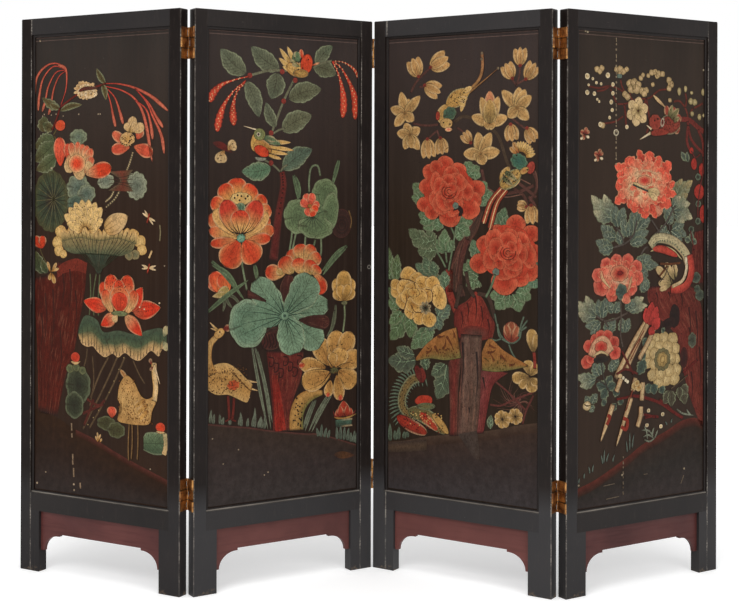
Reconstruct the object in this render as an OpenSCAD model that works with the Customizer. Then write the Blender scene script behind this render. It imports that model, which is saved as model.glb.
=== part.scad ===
// Folding lacquer screen of four framed panels on double-action hinges, standing in a zigzag.
// Millimetres, +Z up, painted front towards -Y. The origin is the middle of the footprint, on the floor.
// Panels are numbered 1 to 4 and joints 1 to 3 from the left of the painted front.
// A panel's own frame has X across from its left edge, Y back from its front face and Z up.

/* [Panel] */
// Height of a panel, floor to top
panel_h = 1370; // [1150:5:1900]
// Width of a panel across both stiles
panel_w = 489; // [430:1:680]
// Thickness of the frame, front to back
panel_t = 27; // [25:0.5:36]
// Radius of the upper outer corners
corner_r = 3; // [1:0.5:12]

/* [Stance] */
// Turn of panel 2 away from square to the viewer, in degrees
stance_turn = 32; // [0:1:60]
// Fold of joint 1 from flat, in degrees
fold_1 = 61; // [10:1:110]
// Fold of joint 2 from flat, in degrees
fold_2 = 65; // [10:1:110]
// Fold of joint 3 from flat, in degrees
fold_3 = 65; // [10:1:110]

/* [Frame] */
// Width of a stile beside the field
stile_w = 32; // [26:1:44]
// Height of the top rail
top_rail_h = 40; // [30:1:70]
// Height of the bottom rail
bottom_rail_h = 44; // [30:1:80]
// Height of the legs, floor to the underside of the bottom rail
leg_h = 150; // [130:1:240]
// Width of a leg
leg_w = 60; // [50:1:90]
// Length of a rail's tenon
tenon_l = 18; // [10:1:22]
// Thickness of a rail's tenon
tenon_t = 9; // [6:0.5:11]
// Step between a rail's edge and its tenon
tenon_step = 9; // [8:1:12]

/* [Field] */
// Thickness of the field boards
board_t = 11; // [8:0.5:13]
// Depth of the painted face behind the frame's front
field_depth = 8; // [6:0.5:9]
// Depth of the field boards' tongue in the frame's groove
board_tongue = 6; // [4:0.5:7]
// Width of the left board where it shows
left_board_w = 124; // [90:1:150]
// Width of the right board where it shows
right_board_w = 138; // [90:1:150]
// Width of the bead round the field
bead_w = 7; // [4:0.5:10]
// Height of the bead above the field
bead_h = 4.5; // [3:0.5:5.5]
// Radius of the bead's rounded edge
bead_r = 2.5; // [1:0.5:2.8]

/* [Apron] */
// Thickness of the apron
apron_t = 11; // [8:0.5:14]
// Height of the apron's straight lower edge above the floor
apron_edge_z = 97; // [85:1:105]
// Height of the cusp that ends the bracket's curve
cusp_drop = 5.5; // [3:0.5:8]
// Width of the cusp
cusp_w = 4; // [2:0.5:8]
// Height of a bracket's foot above the floor
bracket_z = 52.5; // [40:0.5:65]
// Width of the small step at a bracket's foot
bracket_toe = 10; // [5:1:16]
// Width of the bracket's quarter-ellipse
bracket_w = 45; // [30:1:60]
// Depth of the apron's tongue in the rail and legs
apron_tongue = 5; // [3:0.5:7]

/* [Hinges] */
// Height of a hinge
hinge_h = 74; // [62:1:100]
// Drop of the upper hinge below the panel's top
hinge_drop = 43; // [41:1:90]
// Height of the lower hinge above the floor
hinge_rise = 198; // [196:1:300]
// Gap between two panels when they stand flat
panel_gap = 5.5; // [5.4:0.1:7]
// Distance of the pin lines outside the panel's faces
pin_out = 0.6; // [0.5:0.1:1.5]
// Radius of a hinge pin
pin_r = 1.2; // [0.9:0.05:1.3]
// Outer radius of a knuckle
knuckle_r = 2.4; // [2:0.05:2.45]
// Thickness of a leaf
leaf_t = 1.2; // [0.8:0.1:1.3]
// Thickness of a link
link_t = 1.2; // [0.8:0.1:1.4]
// Height of a link's knuckle
link_knuckle_h = 12; // [8:0.5:14]
// Length of a hinge screw under its head
screw_l = 14; // [8:1:18]
// Radius of a hinge screw's shank
screw_r = 1.4; // [1:0.1:1.8]
// Radius of a hinge screw's head
screw_head_r = 2.7; // [2.2:0.1:3.2]
// Sideways step between neighbouring screws
screw_stagger = 4; // [0:0.5:6]

/* [Clearances] */
// Clearance of tongues and tenons all round
wood_fit = 0.1; // [0.05:0.05:0.4]
// Seam between two field boards
board_seam = 0.1; // [0.05:0.05:0.6]
// Radial clearance of a pin in its own leaf
tight_fit = 0.02; // [0.01:0.01:0.03]
// Radial clearance of a pin in the turning knuckle
running_fit = 0.06; // [0.03:0.01:0.1]
// Gap between neighbouring knuckles on a pin
knuckle_play = 0.3; // [0.2:0.05:0.5]
// Gap between a plate and a knuckle that swings past it
swing_gap = 0.4; // [0.3:0.05:0.8]

/* [Hidden] */
$fn = 48;
PANELS = [1, 2, 3, 4];
JOINTS = [1, 2, 3];
PANEL_PIECES = ["left_stile", "right_stile", "top_rail", "bottom_rail", "apron", "field_boards",
    "front_bead", "back_bead"];
HINGE_PIECES = ["left_leaves", "right_leaves", "outer_links", "middle_links", "left_pins",
    "right_pins", "left_screws", "right_screws"];
// How far a cutter passes beyond the face that it opens
over = 1;

LACQUER = [0.17, 0.17, 0.17];
FIELD = [0.18, 0.15, 0.14];
MAROON = [0.36, 0.2, 0.19];
BRASS = [0.62, 0.45, 0.2];

// Field opening
field_z0 = leg_h + bottom_rail_h;
field_z1 = panel_h - top_rail_h;
field_x0 = stile_w;
field_x1 = panel_w - stile_w;
board_back = field_depth + board_t;

// Apron
apron_y = (panel_t - apron_t) / 2;
cusp_z = apron_edge_z - cusp_drop;
curve_x = leg_w + bracket_toe + bracket_w;
cusp_x = curve_x + cusp_w;

// Hinges, in an edge frame: S out from the panel's edge, Y back from its front face
pin_s = panel_gap / 2;
front_pin_y = -pin_out;
back_pin_y = panel_t + pin_out;
plate_y0 = front_pin_y + knuckle_r + swing_gap;
plate_y1 = back_pin_y - knuckle_r - swing_gap;
section_h = hinge_h / 3;
leaf_knuckle_h = (section_h - link_knuckle_h) / 2 - 1.5 * knuckle_play;
hinge_zs = [hinge_rise, panel_h - hinge_drop - hinge_h];
OUTER = [0, 2];
MIDDLE = [1];

// Stance: a panel's heading, and the place of its left front corner
function turned(v, a) = [v[0] * cos(a) - v[1] * sin(a), v[0] * sin(a) + v[1] * cos(a)];
function left_pin(y) = [-pin_s, y];
function right_pin(y) = [panel_w + pin_s, y];
heading = [stance_turn - fold_1, stance_turn, stance_turn - fold_2,
    stance_turn - fold_2 + fold_3];
axis_1 = turned(left_pin(back_pin_y), heading[1]);
corner_1 = axis_1 - turned(right_pin(back_pin_y), heading[0]);
axis_2 = turned(right_pin(front_pin_y), heading[1]);
corner_3 = axis_2 - turned(left_pin(front_pin_y), heading[2]);
axis_3 = corner_3 + turned(right_pin(back_pin_y), heading[2]);
corner_4 = axis_3 - turned(left_pin(back_pin_y), heading[3]);
corners = [corner_1, [0, 0], corner_3, corner_4];

// Footprint: frame corners, and knuckles on the hinged edges
frame_points = [for (p = PANELS, x = [0, panel_w], y = [0, panel_t])
    corners[p - 1] + turned([x, y], heading[p - 1])];
pin_points = [for (j = JOINTS, y = [front_pin_y, back_pin_y])
    each [corners[j - 1] + turned(right_pin(y), heading[j - 1]),
        corners[j] + turned(left_pin(y), heading[j])]];
low = [for (i = [0, 1]) min([each [for (q = frame_points) q[i]],
    each [for (q = pin_points) q[i] - knuckle_r]])];
high = [for (i = [0, 1]) max([each [for (q = frame_points) q[i]],
    each [for (q = pin_points) q[i] + knuckle_r]])];
middle = (low + high) / 2;
echo(joint_axes = [axis_1 - middle, axis_2 - middle, axis_3 - middle]);
echo(panel_corners = [for (c = corners) c - middle]);
echo(footprint = high - low);

// A panel's own frame
module at_panel(p) {
    translate(concat(corners[p - 1] - middle, 0)) rotate(heading[p - 1]) children();
}

// The edge frame of the left panel (side 0) or the right panel (side 1) at joint j
module at_edge(j, side) {
    at_panel(j + side)
        if (side == 0) translate([panel_w, 0, 0]) children();
        else mirror([1, 0, 0]) children();
}

// A plate from an outline in X and Z, between depths y0 and y1
module slab(y0, y1) {
    translate([0, y1, 0]) rotate([90, 0, 0]) linear_extrude(y1 - y0) children();
}

module block(from, to) {
    translate(from) cube(to - from);
}

// Copies on both hinges of a joint
module both_hinges() {
    for (z = hinge_zs) translate([0, 0, z]) children();
}

// ---- panel ----

module tenon_block(z0, z1, fit) {
    block([0, (panel_t - tenon_t) / 2 - fit, z0 + tenon_step - fit],
        [tenon_l + fit, (panel_t + tenon_t) / 2 + fit, z1 - tenon_step + fit]);
}

// Mortises for both rails, open on a stile's inner edge
module mortises() {
    translate([stile_w - tenon_l - wood_fit, 0, 0]) {
        tenon_block(leg_h, field_z0, wood_fit);
        tenon_block(field_z1, panel_h, wood_fit);
    }
}

// Pilot holes of a hinged edge, drilled inwards from X = 0
module pilot_holes() {
    both_hinges() for (i = [0 : 2]) at_screw(i) translate([-over, 0, 0]) rotate([0, 90, 0])
        cylinder(r = screw_r + tight_fit, h = screw_l + wood_fit + over);
}

// A stile with its outer edge on X = 0
module stile(hinged) {
    outer = [[0, 0], [leg_w, 0], [leg_w, leg_h], [stile_w, leg_h], [stile_w, panel_h],
        [corner_r, panel_h], [0, panel_h - corner_r]];
    difference() {
        union() {
            slab(0, panel_t) polygon(outer);
            translate([corner_r, panel_t, panel_h - corner_r]) rotate([90, 0, 0])
                cylinder(r = corner_r, h = panel_t);
        }
        mortises();
        // groove for the field boards
        block([stile_w - board_tongue - wood_fit, field_depth, field_z0 - board_tongue - wood_fit],
            [stile_w + over, board_back, field_z1 + board_tongue + wood_fit]);
        // housing for the apron's end
        block([leg_w - apron_tongue - wood_fit, apron_y - wood_fit, bracket_z - wood_fit],
            [leg_w + over, apron_y + apron_t + wood_fit, leg_h + over]);
        if (hinged) pilot_holes();
    }
}

module left_stile(p) {
    color(LACQUER) stile(p > 1);
}

module right_stile(p) {
    color(LACQUER) translate([panel_w, 0, 0]) mirror([1, 0, 0]) stile(p < 4);
}

// A rail between the stiles, with a tenon at each end
module rail(z0, z1) {
    block([field_x0, 0, z0], [field_x1, panel_t, z1]);
    translate([field_x1, 0, 0]) tenon_block(z0, z1, 0);
    translate([field_x0, 0, 0]) mirror([1, 0, 0]) tenon_block(z0, z1, 0);
}

module top_rail() {
    color(LACQUER) difference() {
        rail(field_z1, panel_h);
        block([field_x0 - tenon_l, field_depth, field_z1 - over],
            [field_x1 + tenon_l, board_back, field_z1 + board_tongue + wood_fit]);
    }
}

module bottom_rail() {
    color(LACQUER) difference() {
        rail(leg_h, field_z0);
        block([field_x0 - tenon_l, field_depth, field_z0 - board_tongue - wood_fit],
            [field_x1 + tenon_l, board_back, field_z0 + over]);
        block([leg_w - wood_fit, apron_y - wood_fit, leg_h - over],
            [panel_w - leg_w + wood_fit, apron_y + apron_t + wood_fit,
                leg_h + apron_tongue + wood_fit]);
    }
}

// The space under one bracket's curve, toe and cusp, from the leg to mid-panel
module bracket_cut() {
    translate([curve_x, bracket_z]) intersection() {
        scale([bracket_w, cusp_z - bracket_z]) circle(r = 1, $fn = 64);
        translate([-bracket_w, 0]) square([bracket_w, cusp_z - bracket_z]);
    }
    translate([curve_x, bracket_z]) square([cusp_w, cusp_z - bracket_z]);
    translate([cusp_x, bracket_z]) square([panel_w / 2 - cusp_x + over,
        apron_edge_z - bracket_z]);
}

module apron() {
    color(MAROON) slab(apron_y, apron_y + apron_t) difference() {
        union() {
            translate([leg_w - apron_tongue, bracket_z])
                square([panel_w - 2 * (leg_w - apron_tongue), leg_h - bracket_z]);
            translate([leg_w, leg_h]) square([panel_w - 2 * leg_w, apron_tongue]);
        }
        bracket_cut();
        translate([panel_w, 0]) mirror([1, 0]) bracket_cut();
    }
}

// Upright planks from seam to seam, with a tongue all round in the frame's groove
module field_boards() {
    seams = [field_x0 - board_tongue, field_x0 + left_board_w, field_x1 - right_board_w,
        field_x1 + board_tongue];
    color(FIELD) for (i = [0 : 2])
        block([seams[i] + (i > 0 ? board_seam / 2 : 0), field_depth, field_z0 - board_tongue],
            [seams[i + 1] - (i < 2 ? board_seam / 2 : 0), board_back, field_z1 + board_tongue]);
}

// Section of a bead: width along X from the frame, height along Y from the field
module bead_section() {
    square([bead_w - bead_r, bead_h]);
    square([bead_w, bead_h - bead_r]);
    translate([bead_w - bead_r, bead_h - bead_r]) intersection() {
        circle(r = bead_r);
        square(bead_r);
    }
}

// One strip along X from 0 to length, its frame side on Z = 0 and its foot on Y = 0
module bead_strip(length) {
    rotate([90, 0, 90]) linear_extrude(length) rotate(90) bead_section();
}

// Four strips round the field, standing forward from Y = 0. They meet in mitres, because each is
// highest at the frame
module bead_ring() {
    field_w = field_x1 - field_x0;
    field_h = field_z1 - field_z0;
    translate([field_x0, 0, field_z0]) {
        bead_strip(field_w);
        translate([0, 0, field_h]) mirror([0, 0, 1]) bead_strip(field_w);
        mirror([1, 0, -1]) bead_strip(field_h);
        translate([field_w, 0, 0]) mirror([1, 0, 0]) mirror([1, 0, -1]) bead_strip(field_h);
    }
}

module front_bead() {
    color(LACQUER) translate([0, field_depth, 0]) bead_ring();
}

module back_bead() {
    color(LACQUER) translate([0, board_back, 0]) mirror([0, 1, 0]) bead_ring();
}

// ---- hinges, drawn in an edge frame with Z = 0 at the hinge's lower end ----

module at_screw(i) {
    translate([0, panel_t / 2 + (i == 1 ? -screw_stagger : screw_stagger),
        (i + 0.5) * section_h]) children();
}

// The knuckles of a leaf at pin line y in one section, with the tabs that carry them
module leaf_knuckles(y, section) {
    inner_y = y < panel_t / 2 ? plate_y0 : plate_y1;
    for (z = [knuckle_play / 2, section_h - knuckle_play / 2 - leaf_knuckle_h])
        translate([0, 0, section * section_h + z]) {
            translate([pin_s, y, 0]) cylinder(r = knuckle_r, h = leaf_knuckle_h);
            block([0, min(y, inner_y), 0], [leaf_t, max(y, inner_y), leaf_knuckle_h]);
        }
}

module pin_bore(y, section, fit) {
    translate([pin_s, y, section * section_h - over])
        cylinder(r = pin_r + fit, h = section_h + 2 * over);
}

// A leaf on its panel's edge. Its front knuckles lie in front_sections, its back ones in back_sections
module leaf(front_sections, back_sections) {
    difference() {
        union() {
            block([0, plate_y0, 0], [leaf_t, plate_y1, hinge_h]);
            for (s = front_sections) leaf_knuckles(front_pin_y, s);
            for (s = back_sections) leaf_knuckles(back_pin_y, s);
        }
        for (s = front_sections) pin_bore(front_pin_y, s, tight_fit);
        for (s = back_sections) pin_bore(back_pin_y, s, tight_fit);
        for (i = [0 : 2]) at_screw(i) rotate([0, 90, 0]) countersink(tight_fit);
    }
}

// A link halfway across the gap, with one knuckle on each pin line
module link(section) {
    z0 = section * section_h + (section_h - link_knuckle_h) / 2;
    difference() {
        union() {
            block([pin_s - link_t / 2, plate_y0, section * section_h + knuckle_play / 2],
                [pin_s + link_t / 2, plate_y1, (section + 1) * section_h - knuckle_play / 2]);
            block([pin_s - link_t / 2, front_pin_y, z0],
                [pin_s + link_t / 2, back_pin_y, z0 + link_knuckle_h]);
            for (y = [front_pin_y, back_pin_y])
                translate([pin_s, y, z0]) cylinder(r = knuckle_r, h = link_knuckle_h);
        }
        for (y = [front_pin_y, back_pin_y]) pin_bore(y, section, running_fit);
    }
}

module pin(y, section) {
    translate([pin_s, y, section * section_h + knuckle_play / 2])
        cylinder(r = pin_r, h = section_h - knuckle_play);
}

// A countersunk head's cone, foot on Z = 0, with the shank's hole below it
module countersink(fit) {
    cylinder(r1 = screw_r + fit, r2 = screw_head_r + fit, h = leaf_t);
    translate([0, 0, -over]) cylinder(r = screw_r + fit, h = 2 * over);
}

// A slotted screw, its head flush with the leaf and its shank in the stile
module screw() {
    slot_w = screw_r / 2;
    difference() {
        union() {
            cylinder(r1 = screw_r, r2 = screw_head_r, h = leaf_t);
            translate([0, 0, -screw_l]) cylinder(r = screw_r, h = screw_l);
        }
        block([-screw_head_r - over, -slot_w / 2, leaf_t / 2],
            [screw_head_r + over, slot_w / 2, leaf_t + over]);
    }
}

module screws() {
    color(BRASS) both_hinges() for (i = [0 : 2]) at_screw(i) rotate([0, 90, 0]) screw();
}

module left_leaves() {
    color(BRASS) both_hinges() leaf(MIDDLE, OUTER);
}

module right_leaves() {
    color(BRASS) both_hinges() leaf(OUTER, MIDDLE);
}

module outer_links() {
    color(BRASS) both_hinges() for (s = OUTER) link(s);
}

module middle_links() {
    color(BRASS) both_hinges() for (s = MIDDLE) link(s);
}

module left_pins() {
    color(BRASS) both_hinges() {
        for (s = MIDDLE) pin(front_pin_y, s);
        for (s = OUTER) pin(back_pin_y, s);
    }
}

module right_pins() {
    color(BRASS) both_hinges() {
        for (s = OUTER) pin(front_pin_y, s);
        for (s = MIDDLE) pin(back_pin_y, s);
    }
}

// ---- nodes ----

// Joints 1 and 3 turn on the back pins, so their outer links keep to the right panel
function outer_side(j) = j == 2 ? 0 : 1;

for (p = PANELS) {
    at_panel(p) left_stile(p);
    at_panel(p) right_stile(p);
    at_panel(p) top_rail();
    at_panel(p) bottom_rail();
    at_panel(p) apron();
    at_panel(p) field_boards();
    at_panel(p) front_bead();
    at_panel(p) back_bead();
}

for (j = JOINTS) {
    at_edge(j, 0) left_leaves();
    at_edge(j, 1) right_leaves();
    at_edge(j, outer_side(j)) outer_links();
    at_edge(j, 1 - outer_side(j)) middle_links();
    at_edge(j, 0) left_pins();
    at_edge(j, 1) right_pins();
    at_edge(j, 0) screws();
    at_edge(j, 1) screws();
}
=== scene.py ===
"""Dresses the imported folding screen: aged black lacquer, brass, and painted birds and flowers."""

import math
import random

import bmesh
import bpy
import numpy as np
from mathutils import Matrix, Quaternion, Vector


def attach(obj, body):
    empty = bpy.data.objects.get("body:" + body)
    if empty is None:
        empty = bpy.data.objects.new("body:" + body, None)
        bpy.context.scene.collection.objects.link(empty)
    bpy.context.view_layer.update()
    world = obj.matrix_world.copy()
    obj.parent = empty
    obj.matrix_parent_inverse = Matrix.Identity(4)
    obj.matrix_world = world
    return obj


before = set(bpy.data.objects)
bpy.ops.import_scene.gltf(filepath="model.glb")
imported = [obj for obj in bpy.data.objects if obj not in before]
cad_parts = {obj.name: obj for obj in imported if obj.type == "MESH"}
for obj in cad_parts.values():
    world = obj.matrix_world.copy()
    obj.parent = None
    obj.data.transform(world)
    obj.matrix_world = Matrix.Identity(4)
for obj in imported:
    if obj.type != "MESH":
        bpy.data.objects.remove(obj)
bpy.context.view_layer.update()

# ---------------------------------------------------------------- sizes, in millimetres unless said otherwise
MM = 0.001
PANELS = (1, 2, 3, 4)
HEADINGS = {1: -29.0, 2: 32.0, 3: -33.0, 4: 32.0}  # degrees, each panel's turn about the vertical
PANEL_W = 489.0
FIELD_FACE = 8.0  # depth of the field boards' front face behind the panel's front face
BURIED = 0.25  # how far the back of a slip of pigment is let into the board
FIRST_RISE = 0.05  # how far the lowest pigment stands off the board
LAYER = 0.012  # between one slip of pigment and the next one laid over it
PLANE = 0.6  # between one motif and another that lies over it
OUTLINE = 1.7  # width of the dark outline round a slip
LEAF_OUTLINE = 1.5
RIBBED_OUTLINE = 3.2  # the same round a leaf that has pale ribs
RIB_HALF = 0.75  # half the width of a pale rib
FIELD_FOOT = 203.0  # height of the painted hill's lower edge
TONE_SPREAD = (0.9, 1.08)  # how much darker or lighter one slip, or one point of it, is than another

# ---------------------------------------------------------------- pigments, sRGB 0 to 255
INK = (36, 27, 25)
CREAM = (206, 178, 132)
BONE = (226, 212, 182)
GOLD = (188, 148, 86)
OCHRE = (156, 108, 56)
VERMILION = (204, 70, 42)
CORAL = (206, 90, 68)
MAROON = (98, 38, 33)
RUST = (122, 46, 36)
BRICK = (150, 58, 44)
BARK = (84, 62, 55)
UMBER = (60, 42, 36)
TEAL = (82, 128, 106)
SAGE = (98, 114, 86)
MOSS = (76, 92, 66)
OLIVE = (86, 80, 52)
SLATE = (100, 116, 108)
RIB_GREEN = (140, 158, 126)  # pale ribs of the leaves on panel 3
EARTH = {  # the hill on each panel, from its foot up to its crest
    1: ((47, 39, 36), (42, 28, 20), (46, 27, 12)),
    2: ((56, 50, 48), (54, 45, 42), (54, 42, 34)),
    3: ((56, 51, 51), (52, 43, 40), (57, 41, 32)),
    4: ((53, 46, 44), (42, 37, 33), (47, 34, 26)),
}
# the old varnish's tint over a panel's pigment
AGED = {1: (1.04, 0.9, 0.76), 2: (1.0, 0.96, 0.92), 3: (1.0, 1.0, 0.96), 4: (1.0, 0.98, 0.94)}


def linear(colour):
    """An sRGB 0 to 255 colour as a linear one."""
    value = np.asarray(colour, float) / 255
    return np.where(value <= 0.04045, value / 12.92, ((value + 0.055) / 1.055) ** 2.4)


# ---------------------------------------------------------------- panels
def turned(points, degrees):
    """Points (x, y) turned about the vertical."""
    a = math.radians(degrees)
    x, y = points[..., 0], points[..., 1]
    return np.stack([x * math.cos(a) - y * math.sin(a), x * math.sin(a) + y * math.cos(a)], -1)


def front_corner(panel):
    """The panel's left front corner in the row frame, in metres, read from its left stile."""
    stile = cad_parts[f"panel_{panel}_left_stile"].data
    points = np.array([v.co[:2] for v in stile.vertices])
    low = turned(points, -HEADINGS[panel]).min(0)
    return turned(low, HEADINGS[panel])


CORNERS = {panel: front_corner(panel) for panel in PANELS}


def to_frame(panel, x, depth, z):
    """A place in a panel's millimetres as metres in the row frame."""
    flat = turned(np.stack([x, depth], -1) * MM, HEADINGS[panel]) + CORNERS[panel]
    return np.concatenate([flat, (z * MM)[..., None]], -1)


# ---------------------------------------------------------------- materials
class Shader:
    """A node material, built step by step."""

    def __init__(self, name):
        self.material = bpy.data.materials.new(name)
        self.material.use_nodes = True
        self.tree = self.material.node_tree
        self.surface = self.tree.nodes["Principled BSDF"]

    def set(self, **values):
        for name, value in values.items():
            self.surface.inputs[name.replace("_", " ")].default_value = value

    def plug(self, source, socket):
        self.tree.links.new(source, self.surface.inputs[socket])

    def node(self, kind, inputs=(), **settings):
        made = self.tree.nodes.new(kind)
        for key, value in settings.items():
            setattr(made, key, value)
        for key, value in dict(inputs).items():
            if isinstance(value, bpy.types.NodeSocket):
                self.tree.links.new(value, made.inputs[key])
            else:
                made.inputs[key].default_value = value
        return made

    def object_place(self):
        return self.node("ShaderNodeTexCoord").outputs["Object"]

    def panel_place(self, panel):
        """Coordinates along, behind and up the panel, in metres."""
        corner = (*CORNERS[panel], 0)
        turn = (0, 0, math.radians(HEADINGS[panel]))
        inputs = {"Vector": self.object_place(), "Location": corner, "Rotation": turn}
        return self.node("ShaderNodeMapping", inputs, vector_type="TEXTURE").outputs[0]

    def stretched(self, place, scale):
        return self.node("ShaderNodeMapping", {"Vector": place, "Scale": scale}).outputs[0]

    def split(self, place):
        return self.node("ShaderNodeSeparateXYZ", {"Vector": place}).outputs

    def noise(self, place, scale, detail=4.0, roughness=0.55, distortion=0.0):
        inputs = {
            "Vector": place, "Scale": scale, "Detail": detail, "Roughness": roughness,
            "Distortion": distortion,
        }
        return self.node("ShaderNodeTexNoise", inputs).outputs["Fac"]

    def cells(self, place, scale, feature="F1"):
        inputs = {"Vector": place, "Scale": scale}
        return self.node("ShaderNodeTexVoronoi", inputs, feature=feature).outputs["Distance"]

    def fit(self, value, low, high, to_low=0.0, to_high=1.0):
        """The value from low..high as to_low..to_high, kept within them."""
        inputs = {"Value": value, "From Min": low, "From Max": high, "To Min": to_low, "To Max": to_high}
        return self.node("ShaderNodeMapRange", inputs).outputs[0]

    def sum(self, kind, a, b=0.0):
        return self.node("ShaderNodeMath", {0: a, 1: b}, operation=kind).outputs[0]

    def apart(self, a, b):
        return self.sum("ABSOLUTE", self.sum("SUBTRACT", a, b))

    def times(self, *values):
        total = values[0]
        for value in values[1:]:
            total = self.sum("MULTIPLY", total, value)
        return total

    def most(self, a, b):
        return self.sum("MAXIMUM", a, b)

    def blend(self, share, under, over, kind="MIX"):
        """Colour over on colour under, by share. Plain colours are sRGB 0 to 255."""
        inputs = {0: share}
        for index, colour in ((6, under), (7, over)):
            plain = not isinstance(colour, bpy.types.NodeSocket)
            inputs[index] = (*linear(colour), 1) if plain else colour
        return self.node("ShaderNodeMix", inputs, data_type="RGBA", blend_type=kind).outputs[2]

    def bump(self, height, strength, distance):
        inputs = {"Height": height, "Strength": strength, "Distance": distance}
        self.plug(self.node("ShaderNodeBump", inputs).outputs[0], "Normal")


EDGE_WEAR = {1: (0.1, 0.8), 2: (1.0, 0.3), 3: (0.3, 1.0), 4: (1.0, 0.15)}  # on the left and right arris
STILE_SHEEN = {1: (0.08, 0.09), 2: (0.13, 0.13), 3: (0.19, 0.15), 4: (0.12, 0.13)}  # left and right
RAIL_SHEEN = 0.18
LEG_DUST_AND_FLOOR_LIGHT = {1: 0.22, 2: 0.4, 3: 0.4, 4: 0.3}  # share of grey on the legs: dust, and painted light thrown up from the floor
RAIL_DUST_AND_PAINTED_LIGHT = {1: (0.1, 0.02), 2: (0.0, 0.24), 3: (0.2, 0.26), 4: (0.05, 0.02)}  # share of grey on the top and bottom rail: dust, painted sheen on the top rail and painted floor light on the bottom one
FIELD_TONES = {  # the field in the middle and at the top of each panel
    1: ((42, 25, 13), (46, 40, 36)),
    2: ((36, 24, 17), (48, 40, 37)),
    3: ((38, 27, 17), (50, 41, 38)),
    4: ((46, 33, 24), (45, 37, 31)),
}
RING_ON, RING_AT = (2, "right_stile"), (0.4815, 0.0, 0.754)  # the pale ring's piece, and its place in metres
RING_RADIUS = 0.0044
LEDGE = 196.0  # height of the bottom rail's top, in millimetres
APRON_GREY = {
    1: (0.12, (40, 22, 22)), 2: (0.08, (122, 100, 92)), 3: (0.24, (132, 84, 76)), 4: (0.3, (40, 24, 23)),
}
BEAD_HIGHLIGHT_SIDE = {1: 32.0, 2: 457.0, 3: 37.0, 4: 457.0}  # the side of the field whose bead carries a painted highlight
# a pale line (rubbed wear on the arrises and the ring, painted highlight on the bead and the ledge, painted
# shade in a hinge's seams) is full up to the first distance from its middle, and gone at the second, in
# metres
ARRIS_RUB = (0.0012, 0.0026)
BEAD_HIGHLIGHT_REACH = (0.001, 0.0024)
LEDGE_HIGHLIGHT_REACH = (0.0008, 0.0022)
RING_RUB = (0.0005, 0.0013)
SEAM_SHADE_REACH = (0.0007, 0.0016)
HINGE_SEAMS = (0.2227, 0.2473, 1.2777, 1.3023)  # heights where a hinge's sections meet, darkened with painted shade
FIELD_RULES = ((1.3225, 0.0009), (1.3145, 0.0006))  # height and half thickness of the lines under the top
# colours of the lacquer and the brass, of what shows through or lies on them, and of light and shade painted
# on them
BLACK, BLACK_FADED, BLACK_STREAK = (17, 11, 9), (29, 22, 19), (56, 47, 42)
FIELD_STREAK, FIELD_RULE, FIELD_CRAZE = (62, 48, 40), (112, 90, 82), (20, 15, 13)
RED_BROWN, RED_BROWN_FADED = (78, 38, 36), (102, 56, 52)
RED_GRAIN, RED_SPECK = (56, 27, 26), (142, 98, 86)
BRASS_PIT, BRASS_SEAM_SHADE = (48, 30, 16), (34, 20, 12)
DUST_AND_LIGHT_GREY = (80, 80, 82)
RUBBED_AND_LIT = (160, 152, 142)
BARE_WOOD = (128, 108, 88)
SCUFFED = (150, 142, 132)
SPECKED = (168, 160, 148)


def wear_and_highlight_line(s, away, rub, patches, least, most):
    """A pale line, for rubbed wear and for painted highlights: how pale it is at a distance from its middle,
    broken up by patches.
    """
    return s.times(s.fit(away, *rub, 1, 0), s.fit(patches, 0, 1, least, most))


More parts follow.
